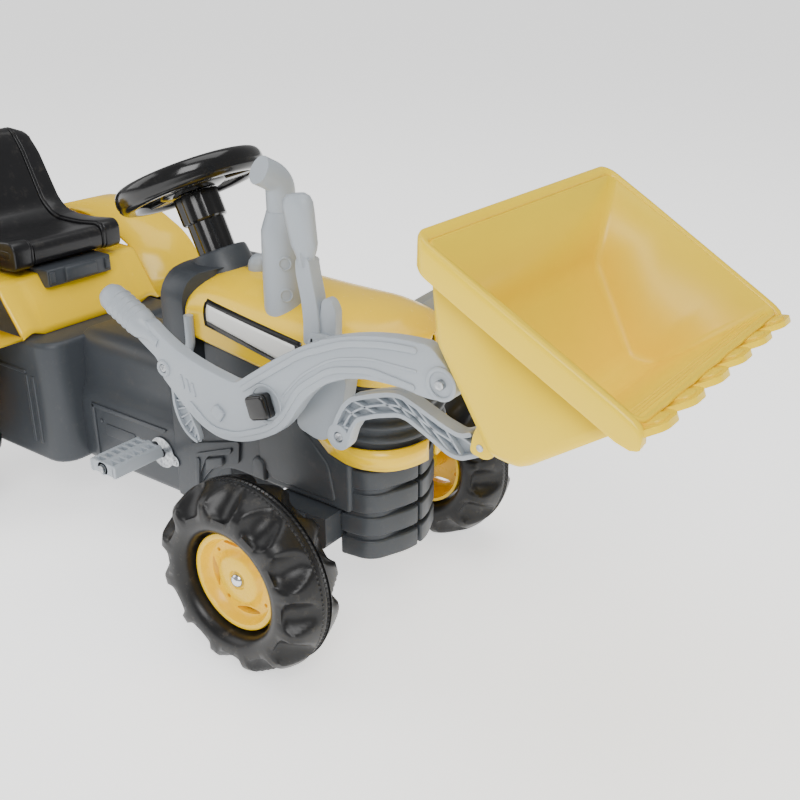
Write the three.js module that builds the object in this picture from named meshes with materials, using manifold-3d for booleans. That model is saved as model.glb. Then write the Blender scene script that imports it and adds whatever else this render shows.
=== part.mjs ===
// A child's ride-on digger: a pedal tractor with a hand-worked front loader.
// Millimetres, +Z up, +X forwards, +Y to the driver's left. The origin lies on the ground,
// in the middle of the whole machine. Inside the tractor group, x = 0 is the front axle.
import * as THREE from 'three';
import { mergeVertices } from 'three/addons/utils/BufferGeometryUtils.js';
import Module from 'manifold-3d';

const wasm = await Module();
wasm.setup();

// ---------------------------------------------------------------- driving dimensions
const GAP = 0.3;                      // between two pieces that touch
const FRONT_R = 117;                  // front tyre radius
const REAR_R = 155;                   // rear tyre radius
const WHEELBASE = 663;
const TYRE_FRONT = [145, 229];        // |y| of the inner and outer sidewall
const TYRE_REAR = [146, 238];
const LUGS = 12;
const TOOTH_TIP_X = 459;              // foremost point of the bucket
const FRONT_AXLE_X = (WHEELBASE + REAR_R - TOOTH_TIP_X) / 2;
const KINGPIN_Y = 118;
const TUNNEL_Y = 76;                  // half width of the footwell tunnel
const HOOD_Y = 80;                    // half width of the hood
const BOX_Y = 120;                    // half width of the rear box
const FLOOR_Z = 90;                   // underside of the chassis
const SEAM = [[-163, 329], [-60, 329], [33, 234], [62, 227]];    // hood on chassis
const DASH_X = [-232, -169];          // front and back of the dash that carries the steering
const STEER_TOP = new THREE.Vector3(-249, 0, 500);
const STEER_END = new THREE.Vector3(-75, 0, 131);
const CRANK = { x: -262, z: 148, dx: 38, dz: 40, r: 5 };
const STACK = { x: -54, y: -46, foot: 380, shoulder: 480, top: 552, r: 25, neck: 17 };
const CAP = { x: -138, y: 0, foot: 392, rim: 412, r: 14 };
const SPROCKET = { drive: 40, driven: 32, y: 0, width: 4 };
const ARM = { out: 152, split: 134, inn: 127 };          // |y| of the loader arm's faces
const LINK = { out: 125.5, inn: 108 };
const LEVER = { out: 106, inn: 84 };
const PIVOT = [6, 316];               // loader arms and tilt lever turn here
const HINGE = [234, 396];             // bucket on the arms
const FORK = [86, 289];               // link on the tilt lever
const EYE = [268, 333];               // link on the bucket
const SCREW = [-156, 319];            // holds the handle's two halves together
const PIVOT_R = 8;
const HINGE_R = 5;

// ---------------------------------------------------------------- finishes
const finish = (color, roughness, metalness = 0) =>
  new THREE.MeshStandardMaterial({ color, roughness, metalness });
const YELLOW = finish('#fbc92f', 0.4);
const BUCKET_YELLOW = finish('#fdd835', 0.35);
const GRAPHITE = finish('#4a4f55', 0.5);
const LIGHT_GREY = finish('#b4bbc2', 0.45);
const BLACK = finish('#1c1c1e', 0.35);
const TYRE_BLACK = finish('#262729', 0.5);
const ZINC = finish('#c9ccd0', 0.3, 1);

// ---------------------------------------------------------------- solids
function solid(geometry) {
  geometry.deleteAttribute('normal');
  geometry.deleteAttribute('uv');
  const merged = mergeVertices(geometry, 1e-3);
  return new wasm.Manifold(new wasm.Mesh({
    numProp: 3,
    vertProperties: new Float32Array(merged.attributes.position.array),
    triVerts: new Uint32Array(merged.index.array),
  }));
}

function geometryOf(manifold) {
  const mesh = manifold.getMesh();
  const geometry = new THREE.BufferGeometry();
  geometry.setAttribute('position', new THREE.BufferAttribute(mesh.vertProperties, 3));
  geometry.setIndex(new THREE.BufferAttribute(mesh.triVerts, 1));
  geometry.computeVertexNormals();
  return geometry;
}

// A closed outline whose corners [u, v, radius] are rounded where a radius is given.
function outline(corners) {
  const shape = new THREE.Shape();
  const count = corners.length;
  corners.forEach(([u, v, radius = 0], i) => {
    const corner = new THREE.Vector2(u, v);
    const before = new THREE.Vector2(...corners[(i + count - 1) % count]);
    const after = new THREE.Vector2(...corners[(i + 1) % count]);
    const room = 0.49 * Math.min(before.distanceTo(corner), after.distanceTo(corner));
    const reach = Math.min(radius, room);
    const start = before.sub(corner).setLength(reach).add(corner);
    const end = after.sub(corner).setLength(reach).add(corner);
    if (i === 0) shape.moveTo(start.x, start.y);
    else shape.lineTo(start.x, start.y);
    if (radius > 0) shape.quadraticCurveTo(corner.x, corner.y, end.x, end.y);
  });
  shape.closePath();
  return shape;
}

const extruded = (shape, depth, curveSegments) =>
  new THREE.ExtrudeGeometry(shape, { depth, bevelEnabled: false, curveSegments });

// The outline lies in X and Z; the slab runs along Y between two values.
function slab(shape, yFrom, yTo, curveSegments = 3) {
  const [low, high] = [Math.min(yFrom, yTo), Math.max(yFrom, yTo)];
  return solid(extruded(shape, high - low, curveSegments).rotateX(Math.PI / 2).translate(0, high, 0));
}

// The outline lies in Y and Z; the bar runs along X.
function bar(shape, xFrom, xTo, curveSegments = 3) {
  const geometry = extruded(shape, xTo - xFrom, curveSegments);
  return solid(geometry.rotateX(Math.PI / 2).rotateZ(Math.PI / 2).translate(xFrom, 0, 0));
}

// The outline lies in X and Y; the plate runs along Z.
const plate = (shape, zFrom, zTo, curveSegments = 3) =>
  solid(extruded(shape, zTo - zFrom, curveSegments).translate(0, 0, zFrom));

function block(x0, x1, y0, y1, z0, z1) {
  const geometry = new THREE.BoxGeometry(x1 - x0, y1 - y0, z1 - z0);
  return solid(geometry.translate((x0 + x1) / 2, (y0 + y1) / 2, (z0 + z1) / 2));
}

// A round bar or cone between two points.
function rod(from, to, radius, endRadius = radius, segments = 12) {
  const start = new THREE.Vector3(...from);
  const axis = new THREE.Vector3(...to).sub(start);
  const geometry = new THREE.CylinderGeometry(endRadius, radius, axis.length(), segments);
  geometry.translate(0, axis.length() / 2, 0);
  const turn = new THREE.Quaternion().setFromUnitVectors(new THREE.Vector3(0, 1, 0), axis.normalize());
  return solid(geometry.applyQuaternion(turn).translate(start.x, start.y, start.z));
}

const disc = ([x, z], yFrom, yTo, radius, segments = 16) =>
  rod([x, yFrom, z], [x, yTo, z], radius, radius, segments);

function ball([x, y, z], radius, segments = 12) {
  return solid(new THREE.SphereGeometry(radius, segments, segments / 2).translate(x, y, z));
}

// A bent round bar: straight runs joined by balls.
function bentRod(points, radius, segments = 8) {
  return points.slice(1).reduce((bent, point, i) => {
    const run = bent.add(rod(points[i], point, radius, radius, segments));
    return i < points.length - 2 ? run.add(ball(point, radius, segments)) : run;
  }, rod(points[0], points[1], radius, radius, segments));
}

// A turned piece about the Y axis: the profile is [radius, y] and closes on the axis or itself.
function turned(profile, segments = 32) {
  return solid(new THREE.LatheGeometry(profile.map(p => new THREE.Vector2(...p)), segments));
}

// ---------------------------------------------------------------- scene graph
const tractor = new THREE.Group();
tractor.position.x = FRONT_AXLE_X;

function put(name, shape, material, parent = tractor) {
  const mesh = new THREE.Mesh(geometryOf(shape), material);
  mesh.name = name;
  parent.add(mesh);
}

const SIDES = [['right', -1], ['left', 1]];

// ---------------------------------------------------------------- chassis
const steerAxis = STEER_TOP.clone().sub(STEER_END).normalize();
const alongSteer = distance => STEER_TOP.clone().addScaledVector(steerAxis, -distance).toArray();
const rearAxle = [-WHEELBASE, REAR_R];
const crankCentre = [CRANK.x, CRANK.z];

function chassisBody() {
  const rearBox = plate(outline([
    [-745, -BOX_Y, 25], [-428, -BOX_Y, 32], [-428, BOX_Y, 32], [-745, BOX_Y, 25],
  ]), FLOOR_Z, 273);
  const tunnel = bar(outline([
    [-TUNNEL_Y, FLOOR_Z], [TUNNEL_Y, FLOOR_Z], [TUNNEL_Y, 190], [62, 214], [62, 280, 26],
    [-62, 280, 26], [-62, 214], [-TUNNEL_Y, 190],
  ]), -440, -130);
  const front = slab(outline([
    [-240, FLOOR_Z], [-205, FLOOR_Z], [-140, 162], [62, 162], ...SEAM.slice(2, 4).reverse(),
    SEAM[1], [DASH_X[1] + GAP, 329], [DASH_X[1] + GAP, 262], [-240, 262],
  ]), -TUNNEL_Y, TUNNEL_Y);
  const nose = plate(outline([
    [46, -72], [88, -66, 20], [107, 0, 40], [88, 66, 20], [46, 72],
  ]), 100, 224);
  const hollow = block(-737, -436, -112, 112, FLOOR_Z + 8, 300)
    .add(block(-445, -213, -56, 56, FLOOR_Z + 8, 254))
    .add(block(-215, -140, -56, 56, 170, 254))
    .add(block(-150, 50, -64, 64, 170, 350))
    .add(block(40, 92, -52, 52, 108, 240));
  return rearBox.add(tunnel).add(front).add(nose).subtract(hollow)
    .subtract(disc(rearAxle, -130, 130, 10.5))
    .subtract(disc(crankCentre, -90, 90, 7))
    .subtract(rod(alongSteer(168), alongSteer(430), 9));
}

function rearDeck() {
  const under = 273 + GAP;
  const fenderSide = [[-477, under], [-525, 345, 20], [-610, 388, 40], [-740, 386, 50], [-812, 330, 30],
    [-817, under]];
  const fender = slab(outline(fenderSide), 122, 238);
  const wheelRoom = slab(outline([[-486, under - 10], [-530, 340, 20], [-612, 382, 36], [-738, 380, 46],
    [-806, 327, 26], [-811, under - 10]]), 127, 233);
  const skirtCut = disc(rearAxle, 225, 245, REAR_R + 14, 32);
  const guard = fender.subtract(wheelRoom).subtract(skirtCut);
  const middle = slab(outline([[-477, under], [-525, 345, 6], [-752, 345, 12], [-765, under]]), -123, 123);
  const underSeat = block(-740, -545, -115, 115, under - 10, 339);
  return middle.subtract(underSeat).add(guard).add(guard.mirror([0, 1, 0]));
}

// The hood's arched cross-section, run along its whole length.
function hoodCrown(inset) {
  const edge = HOOD_Y - inset;
  return bar(outline([
    [-edge, 200], [edge, 200], [edge, 374 - inset, 16], [44, 396 - inset, 34], [0, 407 - inset, 30],
    [-44, 396 - inset, 34], [-edge, 374 - inset, 16],
  ]), -170, 130);
}

function hoodShell() {
  const outer = (inset) => {
    const side = slab(outline([
      [-163 + inset, 328 + GAP], [-163 + inset, 408 - inset, 14], [-30, 404 - inset, 60],
      [78, 401 - inset, 40], [121 - inset, 350, 40], [124 - inset, 270, 30], [106 - inset, 225 + GAP],
      [62, 228 + GAP], [33.5, 235 + GAP], [-59.5, 329 + GAP],
    ]), -HOOD_Y + inset, HOOD_Y - inset);
    const crown = hoodCrown(inset);
    const plan = plate(outline([
      [-170, inset - 90], [60, inset - 90, 40], [128 - inset, inset - 46, 46], [128 - inset, 46 - inset, 46],
      [60, 90 - inset, 40], [-170, 90 - inset],
    ]), 200, 420);
    return side.intersect(crown).intersect(plan);
  };
  const inner = outer(4);
  const grilleMouth = block(62, 140, -100, 100, 250, 332);
  return outer(0)
    .subtract(inner)
    .subtract(slab(outline([
      [-170, 300], [-60, 325], [30, 230], [70, 200], [98, 200], [98, 232], [60, 240], [-40, 340],
      [-150, 340], [-150, 350], [-170, 350],
    ]), -HOOD_Y + 4, HOOD_Y - 4))
    .subtract(grilleMouth)
    .subtract(disc(PIVOT, -90, 90, PIVOT_R + 1));
}

function frontGrille() {
  const face = (inset) => plate(outline([
    [62.5, -72 + inset], [80, -72 + inset, 20], [117 - inset, -34, 34], [117 - inset, 34, 34],
    [80, 72 - inset, 20], [62.5, 72 - inset],
  ]), 250 + GAP, 332 - GAP);
  return face(0).subtract(face(5).translate(-3, 0, 0));
}

function seat() {
  const side = slab(outline([
    [-515, 356, 8], [-513, 400, 16], [-590, 392, 30], [-648, 396, 36], [-690, 500, 20], [-712, 524, 14],
    [-738, 512, 14], [-708, 354.5, 20], [-560, 354],
  ]), -92, 92);
  const front = bar(outline([[-92, 340], [92, 340], [92, 530, 50], [-92, 530, 50]]), -745, -510);
  return side.intersect(front);
}

function seatBracket() {
  return slab(outline([
    [-511.2, 327], [-499, 330], [-499, 353.6], [-590, 353.6], [-590, 345.4], [-524, 345.4],
  ]), -55, 55);
}

// The dash: a bulkhead over the tunnel behind the hood, with the collar of the steering column.
function steeringBracket() {
  const panel = bar(outline([
    [-78, 263], [-63, 263], [-63, 281], [63, 281], [63, 263], [78, 263], [78, 400, 40], [-78, 400, 40],
  ]), ...DASH_X);
  const brow = slab(outline([
    [DASH_X[0], 262], [DASH_X[1], 262], [DASH_X[1], 400], [-190, 424, 20], [-226, 408, 20],
  ]), -80, 80);
  const collar = rod([-181, 0, 370], [-203, 0, 416], 27, 25, 20);
  return panel.intersect(brow).add(collar).intersect(block(-260, DASH_X[1], -80, 80, 260, 440))
    .subtract(rod(STEER_END.toArray(), STEER_TOP.toArray(), 9));
}

function exhaustStack() {
  const { x, y, foot, shoulder, top, r, neck } = STACK;
  const body = rod([x, y, foot], [x, y, shoulder], r, r, 20);
  const taper = rod([x, y, shoulder], [x, y, shoulder + 18], r, neck + 1, 20);
  const bend = new THREE.CatmullRomCurve3([
    new THREE.Vector3(x, y, shoulder + 12), new THREE.Vector3(x, y, top - 30),
    new THREE.Vector3(x - 1, y - 6, top - 10), new THREE.Vector3(x - 3, y - 24, top),
  ]);
  const ring = new THREE.Shape();
  ring.absarc(0, 0, neck, 0, Math.PI * 2);
  const pipe = solid(new THREE.ExtrudeGeometry(ring, { steps: 5, extrudePath: bend, curveSegments: 6 }));
  return body.add(taper).add(pipe).subtract(hoodCrown(-GAP));
}

function fillerCap() {
  const { x, y, foot, rim, r } = CAP;
  const dome = ball([x, y, rim], r).intersect(block(x - 20, x + 20, y - 20, y + 20, rim - 2, rim + r));
  return rod([x, y, foot], [x, y, rim], r, r, 16).add(dome).subtract(hoodCrown(-GAP));
}

// The handle of the raised loader rests against this J-shaped hook on the tunnel.
function restHook() {
  return bentRod([
    [-222, -78.3, 309], [-222, -85, 309], [-190, -85, 309], [-179, -85, 322], [-179, -85, 362],
  ], 6);
}

function axleBeam() {
  const beam = slab(outline([[-42, 118, 8], [42, 118, 8], [42, 160], [-42, 160]]), -100, 100);
  const boss = side => rod([0, side * KINGPIN_Y, 104], [0, side * KINGPIN_Y, 158], 15, 15, 20);
  const bore = side => rod([0, side * KINGPIN_Y, 90], [0, side * KINGPIN_Y, 170], 7, 7, 20);
  const arm = block(-12, 12, -KINGPIN_Y, KINGPIN_Y, 120, 158);
  return beam.add(arm).add(boss(1)).add(boss(-1)).subtract(bore(1)).subtract(bore(-1))
    .subtract(block(-60, 60, -130, 130, 159.7, 165));
}

function loaderMount(side) {
  return slab(outline([[-26, 170 + GAP], [38, 170 + GAP], [26, 335, 18], [-14, 335, 18]]), side * 53, side * 63)
    .subtract(disc(PIVOT, -90, 90, PIVOT_R + GAP));
}

function crankPlate(side) {
  return disc(crankCentre, side * (TUNNEL_Y + GAP), side * (TUNNEL_Y + 3), 22)
    .add(disc([crankCentre[0] + 24, crankCentre[1] - 8], side * (TUNNEL_Y + GAP), side * (TUNNEL_Y + 3), 7, 12))
    .subtract(disc(crankCentre, -90, 90, 6.5));
}

function driveChain() {
  const outer = SPROCKET.drive + 6;
  const inner = SPROCKET.drive + 1;
  const small = SPROCKET.driven - SPROCKET.drive;
  const loop = (radius) => {
    const band = disc(crankCentre, -4, 4, radius, 32).add(disc(rearAxle, -4, 4, radius + small, 32));
    const lean = Math.atan2(rearAxle[1] - crankCentre[1], crankCentre[0] - rearAxle[0]);
    const up = [Math.sin(lean), Math.cos(lean)];
    const corner = ([x, z], r, sign) => [x + sign * up[0] * r, z + sign * up[1] * r];
    return band.add(slab(outline([
      corner(crankCentre, radius, 1), corner(crankCentre, radius, -1),
      corner(rearAxle, radius + small, -1), corner(rearAxle, radius + small, 1),
    ]), -4, 4));
  };
  return loop(outer).subtract(loop(inner));
}

function axleBush(side) {
  return turned([[8.6, 110.5], [16, 110.5], [16, 112 - GAP], [10, 112 - GAP], [10, BOX_Y + GAP],
    [16, BOX_Y + GAP], [16, BOX_Y + 3], [8.6, BOX_Y + 3], [8.6, 110.5]], 14)
    .scale([1, side, 1]).translate([rearAxle[0], 0, rearAxle[1]]);
}

put('chassis_body', chassisBody(), GRAPHITE);
put('rear_deck', rearDeck(), YELLOW);
put('hood', hoodShell(), YELLOW);
put('front_grille', frontGrille(), GRAPHITE);
put('seat', seat(), BLACK);
put('seat_bracket', seatBracket(), GRAPHITE);
put('steering_bracket', steeringBracket(), GRAPHITE);
put('exhaust_stack', exhaustStack(), LIGHT_GREY);
put('filler_cap', fillerCap(), GRAPHITE);
put('lever_rest_hook', restHook(), LIGHT_GREY);
put('front_axle_beam', axleBeam(), BLACK);
put('drive_chain', driveChain(), ZINC);
SIDES.forEach(([name, side]) => {
  put(`loader_mount_${name}`, loaderMount(side), GRAPHITE);
  put(`crank_plate_${name}`, crankPlate(side), ZINC);
  put(`axle_bush_${name}`, axleBush(side), BLACK);
});

// ---------------------------------------------------------------- wheels
function tyre([inner, outer], radius, rimRadius, side) {
  const middle = (inner + outer) / 2;
  const crown = 9;                                     // half width of the unbroken centre band
  const shoulder = radius - 13;
  const band = turned([
    [rimRadius, inner + 8], [radius - 22, inner], [shoulder, inner + 8], [radius, middle - crown],
    [radius, middle + crown], [shoulder, outer - 8], [radius - 22, outer], [rimRadius, outer - 8],
    [rimRadius, inner + 8],
  ], 24);
  let carved = band;
  for (let i = 0; i < LUGS; i += 1) {
    const angle = (i + 0.5) / LUGS * Math.PI * 2;
    const reach = radius * 1.04;
    const at = y => [Math.cos(angle) * reach, y, Math.sin(angle) * reach];
    const scoop = (from, to) => rod(at(from), at(to), radius * 0.22, radius * 0.09, 4);
    carved = carved.subtract(scoop(outer + 2, middle + crown)).subtract(scoop(inner - 2, middle - crown));
  }
  return carved.scale([1, side, 1]);
}

function rim([inner, outer], rimRadius, hubRadius, axleRadius, side) {
  const face = outer - 18;
  const disk = face - 12;
  const wall = rimRadius - 1;
  return turned([
    [axleRadius, disk - 34], [hubRadius * 0.6, disk - 34], [hubRadius * 0.7, disk - 6], [wall - 5, disk - 8],
    [wall - 5, inner + 10], [wall, inner + 10], [wall, face], [wall - 8, face], [wall - 12, disk],
    [hubRadius, disk + 3], [axleRadius, disk + 3], [axleRadius, disk - 34],
  ], 20).scale([1, side, 1]);
}

// A pressed steel cap over the axle's end.
function hubCap(outer, radius, side) {
  const face = outer - 26 + GAP;
  return turned([[0, face], [radius, face], [radius * 0.85, face + 4], [0, face + 8]], 12)
    .scale([1, side, 1]);
}

const FRONT_RIM = 62;
const REAR_RIM = 84;
const AXLE_R = 8;
SIDES.forEach(([name, side]) => {
  const place = (shape, x, z) => shape.translate([x, 0, z]);
  put(`front_tyre_${name}`, place(tyre(TYRE_FRONT, FRONT_R, FRONT_RIM, side), 0, FRONT_R), TYRE_BLACK);
  put(`front_rim_${name}`, place(rim(TYRE_FRONT, FRONT_RIM, 32, 6.5, side), 0, FRONT_R), YELLOW);
  put(`front_hub_cap_${name}`, place(hubCap(TYRE_FRONT[1], 9, side), 0, FRONT_R), ZINC);
  put(`rear_tyre_${name}`, place(tyre(TYRE_REAR, REAR_R, REAR_RIM, side), ...rearAxle), TYRE_BLACK);
  put(`rear_rim_${name}`, place(rim(TYRE_REAR, REAR_RIM, 40, AXLE_R + GAP, side), ...rearAxle), YELLOW);
  put(`rear_hub_cap_${name}`, place(hubCap(TYRE_REAR[1], 11, side), ...rearAxle), ZINC);
});
put('rear_axle', disc(rearAxle, -211, 211, AXLE_R, 16), ZINC);

// ---------------------------------------------------------------- steering
function knuckle(side) {
  const y = side * KINGPIN_Y;
  const stub = disc([0, FRONT_R], y, side * 202, 6, 16);
  const pin = rod([0, y, 60], [0, y, 166], 6, 6, 16);
  const fork = block(-13, 13, -14, 14, 84, 103.4).translate([0, y, 0]);
  const web = block(-9, 9, -4.5, 4.5, 100, 128).translate([0, side * 138.5, 0]);
  const foot = block(-9, 9, Math.min(y, side * 142), Math.max(y, side * 142), 88, 103);
  const arm = block(-52, 0, -7, 7, 90, 96).translate([0, y, 0]);
  return stub.subtract(rod([0, y, 104], [0, y, 158.6], 16)).add(fork).add(foot).add(web).add(arm)
    .add(rod([0, y, 96], [0, y, 164], 6, 6, 16)).add(rod([-45, y, 94], [-45, y, 103], 2.5, 2.5, 10))
    .subtract(pin.intersect(block(-20, 20, -200, 200, 50, 80)));
}

function tieRod() {
  const strip = block(-54, -34, -126, 126, 96.6, 100);
  const tab = block(-120, -40, -13, 13, 96.6, 100);
  const slot = block(-112, -80, -7, 7, 90, 140);
  const eye = side => block(-49, -38, -3.5, 3.5, 90, 110).translate([0, side * KINGPIN_Y, 0]);
  return strip.add(tab).subtract(slot).subtract(eye(1)).subtract(eye(-1));
}

function steeringWheel() {
  const rimCentre = 85;
  const rimWide = 12;
  const rimDeep = 15;
  const grip = [];
  for (let i = 0; i <= 8; i += 1) {
    const angle = i / 8 * Math.PI * 2;
    grip.push([rimCentre + Math.cos(angle) * rimWide, Math.sin(angle) * rimDeep]);
  }
  const spokes = [0, 1, 2].reduce((joined, i) => {
    const angle = i / 3 * Math.PI * 2 + Math.PI;
    return joined.add(solid(new THREE.BoxGeometry(52, 7, 26).translate(54, -8, 0).rotateY(angle)));
  }, turned([[0, -14], [32, -14], [34, -2], [24, 4], [0, 4]], 24));
  const upright = geometryOf(turned(grip, 28).add(spokes)).rotateX(Math.PI / 2);
  const lean = Math.atan2(steerAxis.x, steerAxis.z);
  return solid(upright.rotateY(lean).translate(...STEER_TOP.toArray()));
}

SIDES.forEach(([name, side]) => put(`knuckle_${name}`, knuckle(side), BLACK));
put('tie_rod', tieRod(), ZINC);
put('steering_wheel', steeringWheel(), BLACK);
put('wheel_centre_cap', rod(alongSteer(-4.3), alongSteer(-9), 21, 15, 20), BLACK);
put('steering_column', rod(alongSteer(14.3), alongSteer(54), 25, 25, 20)
  .add(rod(alongSteer(50), alongSteer(91), 21, 21, 20))
  .subtract(rod(alongSteer(10), alongSteer(95), 5.4)), BLACK);
put('steering_rod', bentRod([alongSteer(16), STEER_END.toArray(), [-99, 0, 122], [-99, 0, 93]], 5), ZINC);

// ---------------------------------------------------------------- crank and drive
const pin = side => [CRANK.x - side * CRANK.dx, CRANK.z - side * CRANK.dz];
const at = ([x, z], y) => [x, y, z];
put('crank_shaft', bentRod([
  at(pin(-1), -206), at(pin(-1), -118), at(crankCentre, -118),
  at(crankCentre, 118), at(pin(1), 118), at(pin(1), 206),
], CRANK.r), ZINC);
put('drive_sprocket', disc(crankCentre, -2, 2, SPROCKET.drive, 32)
  .subtract(disc(crankCentre, -5, 5, CRANK.r + GAP, 16)), ZINC);
put('driven_sprocket', disc(rearAxle, -2, 2, SPROCKET.driven, 32)
  .subtract(disc(rearAxle, -5, 5, AXLE_R + GAP, 16)), ZINC);

function pedal(side) {
  const [x, z] = pin(side);
  const tread = block(x - 24, x + 24, 128, 203, z - 9, z + 9);
  const slots = [0, 1, 2, 3, 4, 5].reduce((cut, i) => {
    const y = 133 + i * 11.5;
    return cut.add(block(x + 8, x + 21, y, y + 9, z - 6, z + 12)).add(block(x - 21, x - 8, y, y + 9, z - 6, z + 12));
  }, block(x + 8, x + 21, 133, 142, z - 6, z + 12));
  return tread.subtract(slots).subtract(disc([x, z], 120, 210, CRANK.r + 0.5, 16)).scale([1, side, 1]);
}
SIDES.forEach(([name, side]) => put(`pedal_${name}`, pedal(side), LIGHT_GREY));

// ---------------------------------------------------------------- loader
const ARM_TOP = [[223, 431], [187, 431], [140, 425], [92, 411], [55, 394], [11, 366]];
const ARM_UNDER = [[-136, 300], [-118, 274], [-72, 253], [-32, 257], [4, 272], [31, 292], [51, 317],
  [63, 338], [82, 357], [106, 370], [140, 379], [187, 383], [222, 379]];

// Side view of a loader arm; the right one runs on into the lifting handle.
function armOutline(handle) {
  const points = list => list.map(([x, z]) => new THREE.Vector2(x, z));
  const shape = new THREE.Shape();
  shape.moveTo(HINGE[0], HINGE[1] + 17);
  shape.lineTo(...ARM_TOP[0]);
  shape.splineThru(points(ARM_TOP.slice(1)));
  if (handle) {
    shape.lineTo(-22, 337);
    shape.quadraticCurveTo(-40, 326, -62, 329);
    shape.lineTo(-143, 352);
    shape.lineTo(-166, 331);
    shape.quadraticCurveTo(-172, 312, -152, 306);
  } else {
    shape.lineTo(-50, 346);
    shape.quadraticCurveTo(-108, 345, -130, 312);
  }
  shape.lineTo(...ARM_UNDER[0]);
  shape.splineThru(points(ARM_UNDER.slice(1)));
  shape.lineTo(HINGE[0], HINGE[1] - 17);
  shape.absarc(HINGE[0], HINGE[1], 17, -Math.PI / 2, Math.PI / 2);
  return shape;
}

function loaderArm(side, handle) {
  const body = slab(armOutline(handle), side * ARM.out, side * (ARM.split + GAP / 2), 1);
  const bored = body.subtract(disc(PIVOT, -160, 160, PIVOT_R + 0.5)).subtract(disc(HINGE, -160, 160, HINGE_R + 0.5));
  if (!handle) return bored;
  const y = side * 141;
  return bored
    .add(rod([-128, y, 340], [-190, y, 367], 9, 11, 10).subtract(block(-200, -100, -134, -100, 300, 400)))
    .add(rod([-186, y, 366], [-196, y, 370], 11, 18, 12)).add(rod([-195, y, 370], [-236, y, 385], 18, 18, 12))
    .add(rod([-236, y, 385], [-249, y, 391], 18, 10, 12))
    .subtract(disc(SCREW, -160, -100, 4.5, 12));
}

function armInner(side, handle) {
  const shape = armOutline(false);
  const flange = slab(shape, side * (ARM.split - GAP / 2), side * ARM.inn, 1);
  const trimmed = flange.subtract(disc(PIVOT, -160, 160, PIVOT_R + 0.5))
    .subtract(disc(HINGE, -160, 160, HINGE_R + 0.5));
  if (!handle) return trimmed;
  const crescent = slab(outline([
    [-108, 330, 10], [-150, 333, 8], [-171, 320, 14], [-166, 262, 20], [-148, 224, 10], [-126, 221, 8],
    [-131, 247, 10], [-142, 274, 10], [-134, 302], [-110, 290],
  ]), side * (ARM.split - GAP / 2), side * ARM.inn);
  return trimmed.add(crescent.subtract(disc(SCREW, -160, -100, 4.5, 12)));
}

// The rounded square knob covers the cross shaft's end.
function pivotKnob(side) {
  const [x, z] = PIVOT;
  return slab(outline([[x - 14, z - 14, 7], [x + 14, z - 14, 7], [x + 14, z + 14, 7], [x - 14, z + 14, 7]]),
    side * (ARM.out + 1), side * (ARM.out + 15));
}

function tiltLever() {
  const y = -(LEVER.out + LEVER.inn) / 2;
  const [x, z] = PIVOT;
  const plateShape = outline([
    [24, 416, 6], [42, 428, 6], [60, 430, 6], [66, 395, 10], [82, 345, 10], [FORK[0] + 15, FORK[1] + 8, 8],
    [FORK[0] + 10, FORK[1] - 15, 10], [FORK[0] - 12, FORK[1] - 16, 8], [44, 264, 20], [x + 2, z - 26, 20],
    [x - 24, z - 14, 16], [x - 22, z + 22, 16], [14, 372, 10],
  ]);
  const grip = (from, to, wide, end) => rod(from, to, wide, end, 12);
  const across = (LEVER.out - LEVER.inn) / 2;
  return slab(plateShape, -LEVER.out, -LEVER.inn)
    .add(rod([35, y, 404], [24, y, 474], 10, 10, 10))
    .add(grip([25, y, 468], [22, y, 482], 10, 17).add(grip([22, y, 481], [14, y, 524], 17, 17))
      .add(grip([14, y, 524], [13, y, 537], 17, 9))
      .intersect(block(-20, 60, y - across, y + across, 460, 540)))
    .subtract(disc(PIVOT, -120, -70, PIVOT_R + 0.5))
    .subtract(disc(FORK, -120, -70, 4));
}

// Side view of the pressed link: up from the fork, level, then down to the bucket's eye.
function tiltLink() {
  const shape = outline([
    [FORK[0] - 13, FORK[1], 8], [FORK[0] - 2, FORK[1] + 28, 10], [106, 342, 12], [170, 361, 14], [238, 340, 10],
    [EYE[0] - 8, EYE[1] + 16, 6], [EYE[0] + 16, EYE[1] + 10, 12], [EYE[0] + 14, EYE[1] - 14, 12],
    [240, 308, 16], [182, 332, 12], [112, 316, 10], [FORK[0] + 14, FORK[1] - 4, 10],
    [FORK[0] + 4, FORK[1] - 14, 8], [FORK[0] - 10, FORK[1] - 12, 8],
  ]);
  return slab(shape, -LINK.out, -LINK.inn)
    .subtract(disc(FORK, -130, -100, 4.5, 16))
    .subtract(disc(EYE, -130, -100, 12));
}

function countersunkScrew(centre, head, tip, radius) {
  const step = Math.sign(tip - head) * 2.4;
  return disc(centre, head, head + step, radius * 2.2, 16).add(disc(centre, head + step, tip, radius, 12));
}

put('pivot_shaft', disc(PIVOT, -(ARM.out + 1 - GAP), ARM.out + 1 - GAP, PIVOT_R, 20), ZINC);
SIDES.forEach(([name, side]) => {
  const handle = side < 0;
  put(`loader_arm_${name}`, loaderArm(side, handle), LIGHT_GREY);
  put(`arm_inner_${name}`, armInner(side, handle), LIGHT_GREY);
  put(`pivot_knob_${name}`, pivotKnob(side), BLACK);
});
put('handle_screw', countersunkScrew(SCREW, -154.8, -128, 3.6), ZINC);
put('tilt_lever', tiltLever(), LIGHT_GREY);
put('fork_screw', countersunkScrew(FORK, -(LINK.out + 2.8), -(LEVER.inn + 1), 3.4), ZINC);
put('tilt_link', tiltLink(), LIGHT_GREY);
put('bucket_hinge_shaft', disc(HINGE, -(ARM.out + 3), ARM.out + 3, HINGE_R, 16), ZINC);

// ---------------------------------------------------------------- bucket
// Side view, outside: top lip, back bend, heel, floor, toothed lip.
const SIDE_WALL = [[236, 541], [231, 439, 14], [287, 337, 22], [326, 335, 16], [TOOTH_TIP_X - 14, 418]];

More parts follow.
